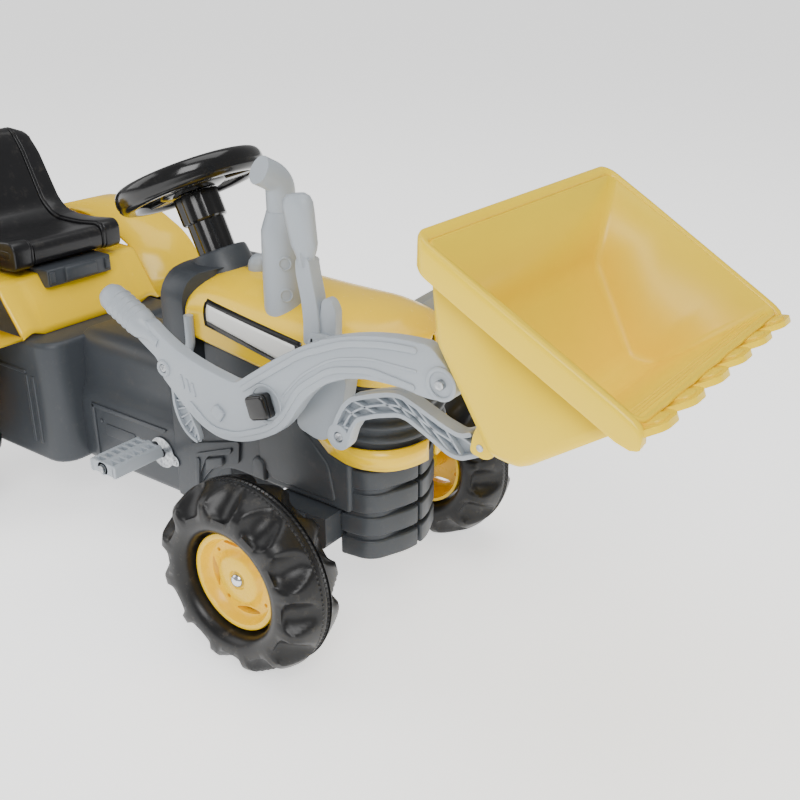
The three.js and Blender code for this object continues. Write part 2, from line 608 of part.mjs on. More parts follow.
function bucketShell() {
  const outside = slab(outline(SIDE_WALL), -186, 186);
  const taper = (rimY, floorY) => {
    const slope = new THREE.Shape();
    slope.moveTo(-rimY, 160);
    slope.lineTo(rimY, 160);
    slope.lineTo(floorY, -20);
    slope.lineTo(-floorY, -20);
    slope.closePath();
    return bar(slope, -400, 400);
  };
  const tilt = -29.5 * Math.PI / 180;
  const toBucket = (shape) => {
    const geometry = geometryOf(shape).rotateY(-tilt);
    return solid(geometry.translate(287, 0, 337));
  };
  const outer = outside.intersect(toBucket(taper(182, 154)));
  const cavity = slab(outline([
    [242, 600], [236, 441, 12], [291, 342, 18], [324, 340, 14], [443, 423], [520, 477],
  ]), -184, 184)
    .intersect(toBucket(taper(178, 150)));
  const rimFlange = (inset) => slab(outline([
    [226 + inset, 546 + 8 * inset], [223 + inset, 520], [240, 500], [420, 394], [447 + 8 * inset, 404],
    [449 + 8 * inset, 418],
  ]), -188 + inset, 188 - inset);
  const lip = plate(outline([[430, -172], [446, -172], [446, 172], [430, 172]]), 404, 419);
  const teeth = [0, 1, 2, 3, 4, 5].reduce((joined, i) => {
    const y = (i - 2.5) * 63.6;
    return joined.add(plate(outline([
      [428, y - 26], [448, y - 24, 6], [TOOTH_TIP_X, y - 8, 6], [TOOTH_TIP_X, y + 8, 6], [448, y + 24, 6],
      [428, y + 26],
    ]), 411, 419, 1));
  }, lip);
  const lug = y => slab(outline([
    [HINGE[0] - 12, HINGE[1] - 8, 6], [HINGE[0] - 10, HINGE[1] + 12, 8], [HINGE[0] + 8, HINGE[1] + 13, 4],
    [260, 400], [274, 372], [HINGE[0] + 8, HINGE[1] - 14, 6],
  ]), y, y + 8).subtract(disc(HINGE, y - 1, y + 9, HINGE_R + GAP, 16));
  const eyeCheek = y => slab(outline([
    [EYE[0] - 12, EYE[1] - 8, 6], [EYE[0] - 8, EYE[1] + 14, 6], [272, 370], [300, 340], [EYE[0] + 10, EYE[1] - 12, 8],
  ]), y, y + 6);
  return outer.add(rimFlange(0).subtract(rimFlange(6))).subtract(cavity)
    .add(teeth)
    .add(lug(-125)).add(lug(117)).add(eyeCheek(-106)).add(eyeCheek(-133.5))
    .subtract(disc(EYE, -140, -96, 4.3, 16));
}

put('bucket', bucketShell(), BUCKET_YELLOW);
put('link_pin', disc(EYE, -134, -99, 4, 16), ZINC);

export default tractor;
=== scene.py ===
# A child's ride-on digger: a pedal tractor with a hand-worked front loader.
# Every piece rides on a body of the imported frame. Shapes are drawn in millimetres from the front
# axle and brought into the frame's metres when a piece is finished.
import math

import bmesh
import bpy
from mathutils import Matrix, Vector


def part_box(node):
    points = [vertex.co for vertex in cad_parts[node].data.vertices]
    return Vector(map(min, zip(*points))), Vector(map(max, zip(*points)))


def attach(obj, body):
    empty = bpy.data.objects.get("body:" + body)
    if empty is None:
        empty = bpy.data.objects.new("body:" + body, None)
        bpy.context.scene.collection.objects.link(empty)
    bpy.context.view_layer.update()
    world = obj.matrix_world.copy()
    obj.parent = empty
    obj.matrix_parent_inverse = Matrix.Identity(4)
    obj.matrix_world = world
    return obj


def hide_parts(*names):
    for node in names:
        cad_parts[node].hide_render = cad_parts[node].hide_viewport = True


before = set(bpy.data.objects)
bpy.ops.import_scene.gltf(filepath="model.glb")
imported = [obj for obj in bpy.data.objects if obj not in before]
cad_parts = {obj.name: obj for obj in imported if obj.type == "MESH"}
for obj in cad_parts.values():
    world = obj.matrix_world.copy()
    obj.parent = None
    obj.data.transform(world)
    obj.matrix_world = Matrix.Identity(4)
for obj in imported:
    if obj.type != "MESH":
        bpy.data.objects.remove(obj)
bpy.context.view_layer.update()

# ------------------------------------------------------------------ studio
# A pale floor under broad, soft lamps, and a lens of ordinary length set above the rider's right
# shoulder side, in front of the machine.
MM = 0.001
tyre_low, tyre_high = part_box("front_tyre_right")
axle_x = (tyre_low.x + tyre_high.x) / 2


def from_axle(x, y, z):
    """A place in millimetres from the ground under the front axle, in the frame's metres."""
    return Vector((axle_x + x * MM, y * MM, z * MM))


camera_data = bpy.data.cameras.new("camera")
camera_data.lens = 45.58
camera_data.clip_end = 50
camera = bpy.data.objects.new("camera", camera_data)
bpy.context.collection.objects.link(camera)
camera.location = from_axle(715, -873, 764)
around, above = math.radians(36.17), math.radians(23.86)
gaze = Vector((-math.sin(around) * math.cos(above), math.cos(around) * math.cos(above), -math.sin(above)))
camera.rotation_euler = gaze.to_track_quat("-Z", "Y").to_euler()
bpy.context.scene.camera = camera

floor_mesh = bpy.data.meshes.new("floor")
bm = bmesh.new()
bmesh.ops.create_grid(bm, x_segments=1, y_segments=1, size=30)
bm.to_mesh(floor_mesh)
bm.free()
floor = bpy.data.objects.new("floor", floor_mesh)
bpy.context.collection.objects.link(floor)


def lamp(name, place, target, size, watts):
    """A square soft box at one point, facing another."""
    data = bpy.data.lights.new(name, "AREA")
    data.size = size
    data.energy = watts
    box = bpy.data.objects.new(name, data)
    box.location = place
    box.rotation_euler = (Vector(target) - Vector(place)).to_track_quat("-Z", "Y").to_euler()
    bpy.context.collection.objects.link(box)


lamp("key_box", (2.2, -2.4, 3.0), (0, 0, 0.3), 2.0, 105)
lamp("side_box", (-3.0, -2.0, 2.2), (0, 0, 0.3), 2.6, 45)
lamp("top_box", (0.2, 0.3, 3.6), (0, 0, 0), 2.6, 55)
world = bpy.data.worlds.new("studio")
world.use_nodes = True
world.node_tree.nodes["Background"].inputs["Color"].default_value = (1, 1, 1, 1)
world.node_tree.nodes["Background"].inputs["Strength"].default_value = 0.4
bpy.context.scene.world = world


def shade(hex_code):
    """An sRGB hex colour as the linear values that a shader takes."""
    parts = [int(hex_code[i:i + 2], 16) / 255 for i in (1, 3, 5)]
    return tuple(c / 12.92 if c <= 0.04045 else ((c + 0.055) / 1.055) ** 2.4 for c in parts) + (1,)


def add(tree, kind, links=(), **settings):
    """One shader node with its settings and its links into named inputs."""
    made = tree.nodes.new("ShaderNode" + kind)
    for key, value in settings.items():
        if key.startswith("in_"):
            made.inputs[key[3:].replace("_", " ")].default_value = value
        else:
            setattr(made, key, value)
    for source, target in links:
        tree.links.new(source, made.inputs[target])
    return made


# Matt white studio paper: a little tooth, no shine.
paper = bpy.data.materials.new("studio_paper")
paper.use_nodes = True
paper_shader = paper.node_tree.nodes["Principled BSDF"]
paper_shader.inputs["Base Color"].default_value = shade("#fbfbfa")
paper_shader.inputs["Roughness"].default_value = 0.95
paper_shader.inputs["Specular IOR Level"].default_value = 0.1
paper_shader.inputs["Emission Color"].default_value = (1, 1, 1, 1)
paper_shader.inputs["Emission Strength"].default_value = 1.1
floor_mesh.materials.append(paper)


def moulded_plastic(name, colour, worn, rough, grain_mm, grain_depth, coat=0.0, waviness=0.0, dust=0.0):
    """Moulded polymer: a slow drift of colour, handling marks that change its gloss, the fine tooth of
    the mould and, on blow-moulded walls, a slow waviness."""
    made = bpy.data.materials.new(name)
    made.use_nodes = True
    tree = made.node_tree
    shader = tree.nodes["Principled BSDF"]
    shader.inputs["IOR"].default_value = 1.5
    shader.inputs["Specular IOR Level"].default_value = 0.36
    shader.inputs["Coat Weight"].default_value = coat
    shader.inputs["Coat Roughness"].default_value = 0.12
    place = add(tree, "TexCoord").outputs["Object"]
    cloud_mm, mark_mm = 90, 14
    cloud = add(tree, "TexNoise", [(place, "Vector")], in_Scale=1000 / cloud_mm, in_Detail=3)
    marks = add(tree, "TexNoise", [(place, "Vector")], in_Scale=1000 / mark_mm, in_Detail=8, in_Roughness=0.7)
    grain = add(tree, "TexNoise", [(place, "Vector")], in_Scale=1000 / grain_mm, in_Detail=4)
    drift = add(tree, "MapRange", [(cloud.outputs["Fac"], "Value")])
    drift.inputs["From Min"].default_value = 0.35
    drift.inputs["From Max"].default_value = 1.15
    drift.inputs["To Max"].default_value = 0.5
    tint = add(tree, "Mix", [(drift.outputs["Result"], "Factor")], data_type="RGBA")
    tint.inputs["A"].default_value = shade(colour)
    tint.inputs["B"].default_value = shade(worn)
    tint_colour = tint.outputs["Result"]
    scuff = add(tree, "MapRange", [(marks.outputs["Fac"], "Value")])
    scuff.inputs["From Min"].default_value = 0.56
    scuff.inputs["From Max"].default_value = 0.78
    if dust:
        settled = add(tree, "Math", [(scuff.outputs["Result"], 0)], operation="MULTIPLY")
        settled.inputs[1].default_value = dust
        dusted = add(tree, "Mix", [(settled.outputs[0], "Factor")], data_type="RGBA")
        tree.links.new(tint_colour, dusted.inputs["A"])
        dusted.inputs["B"].default_value = shade("#8d867a")
        tint_colour = dusted.outputs["Result"]
    tree.links.new(tint_colour, shader.inputs["Base Color"])
    gloss = add(tree, "MapRange", [(marks.outputs["Fac"], "Value")])
    gloss.inputs["From Min"].default_value = 0.3
    gloss.inputs["From Max"].default_value = 1.15
    gloss.inputs["To Min"].default_value = rough - 0.06
    gloss.inputs["To Max"].default_value = rough + 0.1
    tree.links.new(gloss.outputs["Result"], shader.inputs["Roughness"])
    relief = add(tree, "Bump", [(grain.outputs["Fac"], "Height")], in_Strength=grain_depth)
    relief.inputs["Distance"].default_value = 0.15 * MM
    normal = relief.outputs["Normal"]
    if waviness:
        swell = add(tree, "TexNoise", [(place, "Vector")], in_Scale=1000 / 45, in_Detail=1)
        wave = add(tree, "Bump", [(swell.outputs["Fac"], "Height"), (normal, "Normal")], in_Strength=waviness)
        wave.inputs["Distance"].default_value = 2.5 * MM
        normal = wave.outputs["Normal"]
    tree.links.new(normal, shader.inputs["Normal"])
    return made


# ------------------------------------------------------------------ shaping
# How each piece is shaped, here because the chassis is the first to need it.
def edges_over(edges, degrees):
    """Edges whose two faces meet at more than an angle."""
    limit = math.radians(degrees)
    return [e for e in edges if len(e.link_faces) == 2 and e.calc_face_angle(0) > limit]


def soften(bm, faces, offset, segments=3, degrees=32):
    """Rounds the sharp edges of some faces."""
    edges = {e for f in faces if f.is_valid for e in f.edges}
    bmesh.ops.recalc_face_normals(bm, faces=[f for f in faces if f.is_valid])
    sharp = edges_over(edges, degrees)
    if sharp:
        bmesh.ops.bevel(bm, geom=sharp, offset=offset, offset_type="OFFSET", affect="EDGES",
                        segments=segments, profile=0.5, clamp_overlap=True, material=-1)


def outline(bm, corners, plane, level):
    """A flat face from corners (u, v) or (u, v, cut), each rounded over its cut."""
    lay = {"XZ": lambda u, v: (u, level, v), "XY": lambda u, v: (u, v, level), "YZ": lambda u, v: (level, u, v)}
    before = set(bm.faces)
    verts = [bm.verts.new(lay[plane](*corner[:2])) for corner in corners]
    bm.faces.new(verts)
    for cut in sorted({c[2] for c in corners if len(c) > 2}):
        group = [v for v, c in zip(verts, corners) if len(c) > 2 and c[2] == cut]
        bmesh.ops.bevel(bm, geom=group, offset=cut, offset_type="OFFSET", affect="VERTICES",
                        segments=5, profile=0.5, clamp_overlap=True, material=-1)
    return [f for f in bm.faces if f not in before]


def slab(bm, corners, low, high, plane="XZ", soft=0.0):
    """A flat outline thickened between two levels, with its edges rounded."""
    before = set(bm.faces)
    face = outline(bm, corners, plane, low)
    grown = bmesh.ops.extrude_face_region(bm, geom=face)["geom"]
    rise = {"XZ": (0, high - low, 0), "XY": (0, 0, high - low), "YZ": (high - low, 0, 0)}[plane]
    bmesh.ops.translate(bm, verts=[g for g in grown if isinstance(g, bmesh.types.BMVert)], vec=rise)
    made = [f for f in bm.faces if f not in before]
    if soft:
        soften(bm, made, soft)
    return [f for f in bm.faces if f not in before]


def turned(bm, profile, centre, axis, steps=48, angle=360, soft=0.0):
    """A profile of (radius, distance along the axis) spun round an axis through a point."""
    before = set(bm.faces)
    axis = Vector(axis).normalized()
    lie = axis.orthogonal().normalized()
    centre = Vector(centre)
    verts = [bm.verts.new(centre + lie * radius + axis * along) for radius, along in profile]
    edges = [bm.edges.new(pair) for pair in zip(verts, verts[1:])]
    bmesh.ops.spin(bm, geom=verts + edges, cent=centre, axis=axis, angle=math.radians(angle), steps=steps,
                   use_merge=angle == 360, use_duplicate=False)
    made = [f for f in bm.faces if f not in before]
    bmesh.ops.remove_doubles(bm, verts=list({v for f in made for v in f.verts}), dist=0.01)
    made = [f for f in bm.faces if f not in before]
    if soft:
        soften(bm, made, soft, degrees=25)
    return [f for f in bm.faces if f not in before]


def round_bar(bm, start, end, radius, soft=1.0, steps=24):
    """A round bar between two points, with softened ends."""
    length = (Vector(end) - Vector(start)).length
    profile = [(0, 0), (radius, 0), (radius, length), (0, length)]
    return turned(bm, profile, start, Vector(end) - Vector(start), steps, soft=soft)


def bent_bar(bm, points, radius, bend=18):
    """A round bar bent through some points, each bend drawn as an arc."""
    curve = bpy.data.curves.new("bar", "CURVE")
    curve.dimensions = "3D"
    curve.bevel_depth = radius
    curve.bevel_resolution = 6
    curve.use_fill_caps = True
    path = [Vector(points[0])]
    for before, here, after in zip(points, points[1:], points[2:]):
        here = Vector(here)
        into = (here - Vector(before))
        out = (Vector(after) - here)
        reach = min(bend, into.length * 0.45, out.length * 0.45)
        start = here - into.normalized() * reach
        end = here + out.normalized() * reach
        path += [start.lerp(here, t).lerp(here.lerp(end, t), t) for t in (0, 0.17, 0.33, 0.5, 0.67, 0.83, 1)]
    path.append(Vector(points[-1]))
    spline = curve.splines.new("POLY")
    spline.points.add(len(path) - 1)
    for point, place in zip(spline.points, path):
        point.co = (*place, 1)
    holder = bpy.data.objects.new("bar", curve)
    shape = bpy.data.meshes.new_from_object(holder)
    bm.from_mesh(shape)
    bpy.data.objects.remove(holder)
    bpy.data.curves.remove(curve)
    bpy.data.meshes.remove(shape)


def mirrored(bm):
    """The same shape on the other side of the machine."""
    bmesh.ops.scale(bm, vec=(1, -1, 1), verts=bm.verts)
    bmesh.ops.reverse_faces(bm, faces=bm.faces)


def finish(bm, name, material, body, stands_for=(), wall=0.0, sharp=38):
    """Brings a shape drawn in millimetres into the frame and seats it on its body."""
    bmesh.ops.remove_doubles(bm, verts=bm.verts, dist=0.02)
    bmesh.ops.recalc_face_normals(bm, faces=bm.faces)
    bmesh.ops.scale(bm, vec=(MM, MM, MM), verts=bm.verts)
    bmesh.ops.translate(bm, vec=(axle_x, 0, 0), verts=bm.verts)
    mesh = bpy.data.meshes.new(name)
    bm.to_mesh(mesh)
    bm.free()
    mesh.polygons.foreach_set("use_smooth", [True] * len(mesh.polygons))
    mesh.set_sharp_from_angle(angle=math.radians(sharp))
    piece = bpy.data.objects.new(name, mesh)
    bpy.context.collection.objects.link(piece)
    mesh.materials.append(material)
    if wall:
        shell = piece.modifiers.new("wall", "SOLIDIFY")
        shell.thickness = wall * MM
        shell.offset = -1
    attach(piece, body)
    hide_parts(*([stands_for] if isinstance(stands_for, str) else stands_for))
    return piece


SIDES = (("right", -1), ("left", 1))

# ------------------------------------------------------------------ chassis
# One hollow blow-moulded body: the box under the seat, the tunnel between the rider's feet, and the
# cowl and nose round the front axle. Its edges are generous, as the blown wall can't fill sharp ones.
# Blow-moulded polyethylene, dark grey: satin, slightly wavy, with the mould's fine tooth.
GRAPHITE = moulded_plastic("blown_polyethylene_graphite", "#3c4045", "#34373c", 0.42, 0.9, 0.35,
                           waviness=0.10, dust=0.10)
BOX_HALF, TUNNEL_HALF, SHOULDER_HALF = 120, 76, 62
FLOOR, BOX_TOP = 90, 273

bm = bmesh.new()
slab(bm, [(-745, -BOX_HALF, 25), (-428, -BOX_HALF, 34), (-428, BOX_HALF, 34), (-745, BOX_HALF, 25)],
     FLOOR, BOX_TOP, "XY", soft=8)
slab(bm, [(-TUNNEL_HALF, FLOOR, 12), (TUNNEL_HALF, FLOOR, 12), (TUNNEL_HALF, 190, 9), (SHOULDER_HALF, 214, 12),
          (SHOULDER_HALF, 280, 26), (-SHOULDER_HALF, 280, 26), (-SHOULDER_HALF, 214, 12),
          (-TUNNEL_HALF, 190, 9)], -440, -133, "YZ", soft=4)
cowl_side = [(-240, FLOOR, 6), (-207, FLOOR, 16), (-142, 162, 18), (60, 162), (60, 227), (33, 234, 8),
             (-60, 329, 14), (-168, 329, 6), (-168, 262, 6), (-240, 262, 6)]
slab(bm, cowl_side, -TUNNEL_HALF - 0.5, TUNNEL_HALF + 0.5, soft=5)
for _, side in SIDES:
    box_y, tunnel_y = side * BOX_HALF, side * TUNNEL_HALF
    out = side * 2.2
    # Pressed lines on the box, twin upright ones and a level one towards the rear.
    for x in (-486, -471):
        slab(bm, [(x - 3, 118, 2), (x + 3, 118, 2), (x + 3, 222, 2), (x - 3, 222, 2)], box_y - out, box_y + out, soft=1.6)
    slab(bm, [(-700, 222, 2), (-486, 222, 2), (-486, 228, 2), (-700, 228, 2)], box_y - out, box_y + out, soft=1.6)
    # Raised frame and rivet heads on the tunnel beside the foot.
    slab(bm, [(-408, 100, 4), (-400, 100, 4), (-400, 184, 4), (-408, 184, 4)], tunnel_y - out, tunnel_y + out, soft=1.8)
    slab(bm, [(-405, 178, 3), (-256, 178, 3), (-250, 184, 3), (-405, 184, 3)], tunnel_y - out, tunnel_y + out, soft=1.8)
    slab(bm, [(-380, 140, 3), (-318, 140, 3), (-318, 158, 3), (-380, 158, 3)], tunnel_y - out / 2, tunnel_y + out / 2, soft=0.8)
    for x, z in ((-388, 160), (-384, 108), (-336, 122)):
        round_bar(bm, (x, tunnel_y - out, z), (x, tunnel_y + out, z), 3.2, soft=1.4)
    # The moulded sham engine ahead of the pedals: an angled block with a stepped rim.
    for grow, proud in ((0, 4.0), (-11, 7.0)):
        slab(bm, [(-214 - grow, 98 - grow, 5), (-204 - grow, 180 + grow, 6), (-112 + grow, 208 + grow, 6),
                  (-116 + grow, 176 - grow, 5), (-158 + grow, 162 - grow, 8)],
             tunnel_y - side * 4, tunnel_y + side * proud, soft=2.2)
    slab(bm, [(-196, 118, 4), (-188, 118, 4), (-182, 166, 4), (-190, 166, 4)], tunnel_y, tunnel_y + side * 9, soft=1.8)
    slab(bm, [(-172, 150, 4), (-140, 168, 4), (-140, 180, 4), (-172, 168, 4)], tunnel_y, tunnel_y + side * 9, soft=1.8)
    slab(bm, [(-92, 166, 3), (-70, 166, 3), (-70, 196, 10), (-92, 196, 10)], tunnel_y - side * 3, tunnel_y + side * 5, soft=3)
    # Long soft step along the cowl under the hood's seam.
    slab(bm, [(-60, 172, 6), (40, 172, 6), (30, 218, 6), (-58, 306, 8), (-80, 306, 8), (-80, 190, 6)],
         tunnel_y - side * 3, tunnel_y + side * 2.6, soft=2.4)
# Nose: a core with four soft pads a side, parted by three grooves and the seam in the middle.
slab(bm, [(46, -70), (86, -63, 18), (101, 0, 30), (86, 63, 18), (46, 70)], 103, 224, "XY", soft=4)
pad_height, groove = 25, 6
for _, side in SIDES:
    for level in range(4):
        low = 101 + level * (pad_height + groove)
        slab(bm, [(42, side * 73), (84, side * 67.5, 16), (105.5, side * 18, 12), (106.5, side * 2.5, 3),
                  (42, side * 2.5)], low, low + pad_height, "XY", soft=4.5)
finish(bm, "chassis_shell", GRAPHITE, "chassis", "chassis_body")

# ------------------------------------------------------------------ wheels
# Hollow blow-moulded tyres with twelve lugs a side, parted by scoops that open on the sidewall, and
# two rows of fine ribs beside the parting line. A yellow moulded rim snaps into each one.
# Blow-moulded polyethylene, near black: a soft sheen, duller and dusty where it rolls.
TYRE_BLACK = moulded_plastic("blown_polyethylene_black", "#161617", "#1e1e20", 0.36, 1.1, 0.4, waviness=0.08, dust=0.22)
# Injection-moulded polypropylene, deep yellow: smooth, glossy in the hollows.
RIM_YELLOW = moulded_plastic("moulded_polypropylene_rim", "#fccc00", "#f6c200", 0.3, 0.8, 0.15, coat=0.15)
# Chromed steel spring cap: a bright mirror with faint hairlines.
CHROME = bpy.data.materials.new("chromed_spring_steel")
CHROME.use_nodes = True
chrome_tree = CHROME.node_tree
chrome_shader = chrome_tree.nodes["Principled BSDF"]
chrome_shader.inputs["Metallic"].default_value = 1
chrome_shader.inputs["Base Color"].default_value = shade("#dcdee2")
chrome_place = add(chrome_tree, "TexCoord").outputs["Object"]
hairline = add(chrome_tree, "TexNoise", [(chrome_place, "Vector")], in_Scale=900, in_Detail=5)
hair_gloss = add(chrome_tree, "MapRange", [(hairline.outputs["Fac"], "Value")])
hair_gloss.inputs["To Min"].default_value = 0.08
hair_gloss.inputs["To Max"].default_value = 0.28
chrome_tree.links.new(hair_gloss.outputs["Result"], chrome_shader.inputs["Roughness"])

LUGS = 12


def tyre(bm, radius, inner, outer, rim_radius):
    """A tyre round the Y axis: the profile is spun, then scooped between its lugs."""
    middle, half = (inner + outer) / 2, (outer - inner) / 2
    shoulder, wall_top, foot = radius - 11, radius - 21, rim_radius + 4
    side = [(foot, half - 12), (foot + 3, half - 5), (foot + 9, half - 1), ((foot + wall_top) / 2, half),
            (wall_top - 6, half), (wall_top, half - 0.8), (wall_top + 4, half - 2), (shoulder - 3, half - 4.5),
            (shoulder, half - 7), (shoulder + 3, half - 11), (shoulder + 5.5, half - 17),
            (radius - 3.6, half - 23), (radius - 2, 14), (radius - 1, 9.5), (radius - 0.6, 8), (radius - 2.2, 7.2),
            (radius - 1.2, 5), (radius - 2.6, 3.2)]
    profile = side + [(radius - 1.8, 0)] + [(r, -y) for r, y in reversed(side)]
    before = set(bm.faces)
    turned(bm, [(r, middle + y) for r, y in profile], (0, 0, 0), (0, 1, 0), steps=LUGS * 20)
    verts = {v for f in bm.faces if f not in before for v in f.verts}
    for v in verts:
        reach = math.hypot(v.co.x, v.co.z)
        turn = math.atan2(v.co.z, v.co.x) / math.tau * LUGS
        across = abs(v.co.y - middle)
        if across < 9 and reach > radius - 4:
            notch = round(turn * 20) % 2
            if 2 < across < 7.5:
                v.co *= 1 - 0.9 * notch / radius
            continue
        spread = min(max((across - 8) / (half - 14), 0), 1)
        width = 0.10 + 0.30 * spread ** 0.6
        off = abs((turn + 0.5) % 1 - 0.5)
        scoop = max(0.0, 1 - (off / width) ** 2) ** 0.8 if reach > foot + 10 else 0
        fade = min(max((reach - (radius - 33)) / 20, 0), 1)
        fade = fade * fade * (3 - 2 * fade)
        cut = 15.5 * scoop * fade * spread ** 0.5
        factor = (reach - cut) / reach
        v.co.x *= factor
        v.co.z *= factor
        v.co.y -= math.copysign(5.0 * scoop * fade * spread, v.co.y - middle)
    caps = {e for e in bm.edges if e.is_boundary}
    bmesh.ops.bridge_loops(bm, edges=list(caps))


def rim(bm, inner, outer, rim_radius, hub_radius, windows):
    """The dished yellow rim: rolled flange, dish with curved windows and round holes, raised hub."""
    face = outer - 17
    dish = face - 14
    wall = rim_radius - 0.5
    profile = [(8, dish - 30), (hub_radius * 0.55, dish - 30), (hub_radius * 0.62, dish - 6), (wall - 9, dish - 9),
               (wall - 5, dish - 14), (wall - 4, inner + 12), (wall, inner + 12), (wall, face - 3), (wall - 1, face - 0.8),
               (wall - 3.5, face), (wall - 7, face - 1.2), (wall - 8.5, face - 4), (wall - 10, dish + 3),
               (wall - 13, dish), (hub_radius + 6, dish - 1), (hub_radius + 1.5, dish + 1.5), (hub_radius - 1, dish + 6.5),
               (hub_radius - 4, dish + 8), (12, dish + 8), (10.5, dish + 6), (8, dish + 6)]
    turned(bm, profile + profile[:1], (0, 0, 0), (0, 1, 0), steps=96)
    cutter = bmesh.new()
    low, high = hub_radius + 7, wall - 14
    for k in range(4):
        start = math.radians(windows + 90 * k)
        mid = (low + high) / 2
        arc = [start + math.radians(a) for a in range(-24, 25, 6)]
        bow = [(math.cos(a) * high, math.sin(a) * high) for a in arc]
        back = [(math.cos(a) * (low + (high - low) * (abs(i - 4) / 4) ** 2 * 0.8),
                 math.sin(a) * (low + (high - low) * (abs(i - 4) / 4) ** 2 * 0.8)) for i, a in enumerate(arc)]
        slab(cutter, bow + back[::-1], dish - 20, dish + 12, soft=0)
        hole = start + math.radians(45)
        round_bar(cutter, (math.cos(hole) * mid, dish - 20, math.sin(hole) * mid),
                  (math.cos(hole) * mid, dish + 12, math.sin(hole) * mid), 2.6, soft=0, steps=16)
    return carved(bm, cutter)


def carved(bm, cutter):
    """One closed shape with another cut out of it."""
    holders = []
    for shape in (bm, cutter):
        bmesh.ops.remove_doubles(shape, verts=shape.verts, dist=0.01)
        bmesh.ops.recalc_face_normals(shape, faces=shape.faces)
        mesh = bpy.data.meshes.new("blank")
        shape.to_mesh(mesh)
        shape.free()
        holder = bpy.data.objects.new("blank", mesh)
        bpy.context.collection.objects.link(holder)
        holders.append(holder)
    solid, tool = holders
    cut = solid.modifiers.new("cut", "BOOLEAN")
    cut.operation = "DIFFERENCE"
    cut.solver = "EXACT"
    cut.use_self = True
    cut.object = tool
    seen = solid.evaluated_get(bpy.context.evaluated_depsgraph_get())
    result = bmesh.new()
    result.from_mesh(seen.to_mesh())
    for holder in holders:
        mesh = holder.data
        bpy.data.objects.remove(holder)
        bpy.data.meshes.remove(mesh)
    return result


WHEELBASE, REAR_RADIUS, FRONT_RADIUS = 663, 155, 117
WHEELS = (("front", 0, FRONT_RADIUS, 145, 229, 61, 31, 9.5), ("rear", -WHEELBASE, REAR_RADIUS, 146, 238, 84, 42, 11.5))
for end, x, radius, inner, outer, rim_radius, hub_radius, cap_radius in WHEELS:
    for name, side in SIDES:
        body = f"front_wheel_{name}" if end == "front" else "rear_wheels"

        def seat_wheel(bm, piece, material):
            if side < 0:
                mirrored(bm)
            bmesh.ops.translate(bm, vec=(x, 0, radius), verts=bm.verts)
            finish(bm, f"{end}_{piece}_{name}", material, body, f"{end}_{piece}_{name}",
                   sharp=50 if piece == "tyre" else 38)

        bm = bmesh.new()
        tyre(bm, radius, inner, outer, rim_radius)
        seat_wheel(bm, "tyre", TYRE_BLACK)
        bm = bmesh.new()
        seat_wheel(rim(bm, inner, outer, rim_radius, hub_radius, 10), "rim", RIM_YELLOW)
        face = outer - 25.5
        bm = bmesh.new()
        turned(bm, [(0, face - 1), (cap_radius - 1, face - 1), (cap_radius, face), (cap_radius * 0.93, face + 3),
                    (cap_radius * 0.8, face + 5), (cap_radius * 0.55, face + 6.8), (cap_radius * 0.3, face + 7.6),
                    (0, face + 8)], (0, 0, 0), (0, 1, 0), steps=40)
        seat_wheel(bm, "hub_cap", CHROME)

# ------------------------------------------------------------------ hood and grille
# A yellow blow-moulded hood clipped over the cowl, domed across and rounding down to the nose, with a
# dark ribbed grille let into its front between the hood and a yellow band.
# Blow-moulded polyethylene, warm yellow: a soft gloss over a slightly wavy wall.
YELLOW = moulded_plastic("blown_polyethylene_yellow", "#ffd200", "#fcc800", 0.27, 1.2, 0.18, coat=0.25, waviness=0.06)
HOOD_HALF, HOOD_BACK, NOSE_START, NOSE_TIP, CROWN = 80, -190, 40, 124, 45
GRILLE_LOW, GRILLE_HIGH = 251, 329
SEAM = ((-190, 344), (-176, 333), (-60, 317), (33, 236), (62, 228), (104, 225), (124, 225))
CREST = ((-190, 403), (-150, 408), (-40, 404), (40, 403), (90, 396), (124, 380))


def height(line, x):
    """The height of a line of (x, z) points, straight between them."""
    for (x0, z0), (x1, z1) in zip(line, line[1:]):
        if x <= x1:
            return z0 + (z1 - z0) * max(0, (x - x0) / (x1 - x0))
    return line[-1][1]


def hood_half(x):
    """Half the hood's width: straight sides that round into the nose."""
    run = min(max((x - NOSE_START) / (NOSE_TIP - NOSE_START), 0), 1)
    return HOOD_HALF * (1 - run ** 2.7) ** (1 / 2.3)


def hood_section(bm, x, inset=0.0, levels=None):
    """One loop across the hood, from the right seam over the crest to the left seam."""
    half, low, top = hood_half(x) - inset, height(SEAM, x), height(CREST, x) - inset
    waist = top - CROWN
    if levels is None:
        levels = [low, max(GRILLE_LOW, low + 3), max((GRILLE_LOW + GRILLE_HIGH) / 2, low + 6),
                  max(GRILLE_HIGH, low + 9)]
    right = [(half, z) for z in levels if z < waist - 2]
    while len(right) < len(levels):
        right.append((half, waist - 2 + 0.4 * len(right)))
    crown = []
    for k in range(1, 16):
        angle = math.pi * k / 32
        crown.append((half * math.cos(angle) ** 0.92, waist + CROWN * math.sin(angle) ** 0.96))
    path = right + [(half, waist)] + crown
    places = [(-y, z) for y, z in path] + [(0, top)] + [(y, z) for y, z in reversed(path)]
    verts = [bm.verts.new((x, y, z)) for y, z in places]
    return [bm.edges.new(pair) for pair in zip(verts, verts[1:])]


def lofted(bm, sections):
    """A skin from each loop to the next."""
    for here, there in zip(sections, sections[1:]):
        bmesh.ops.bridge_loops(bm, edges=here + there)


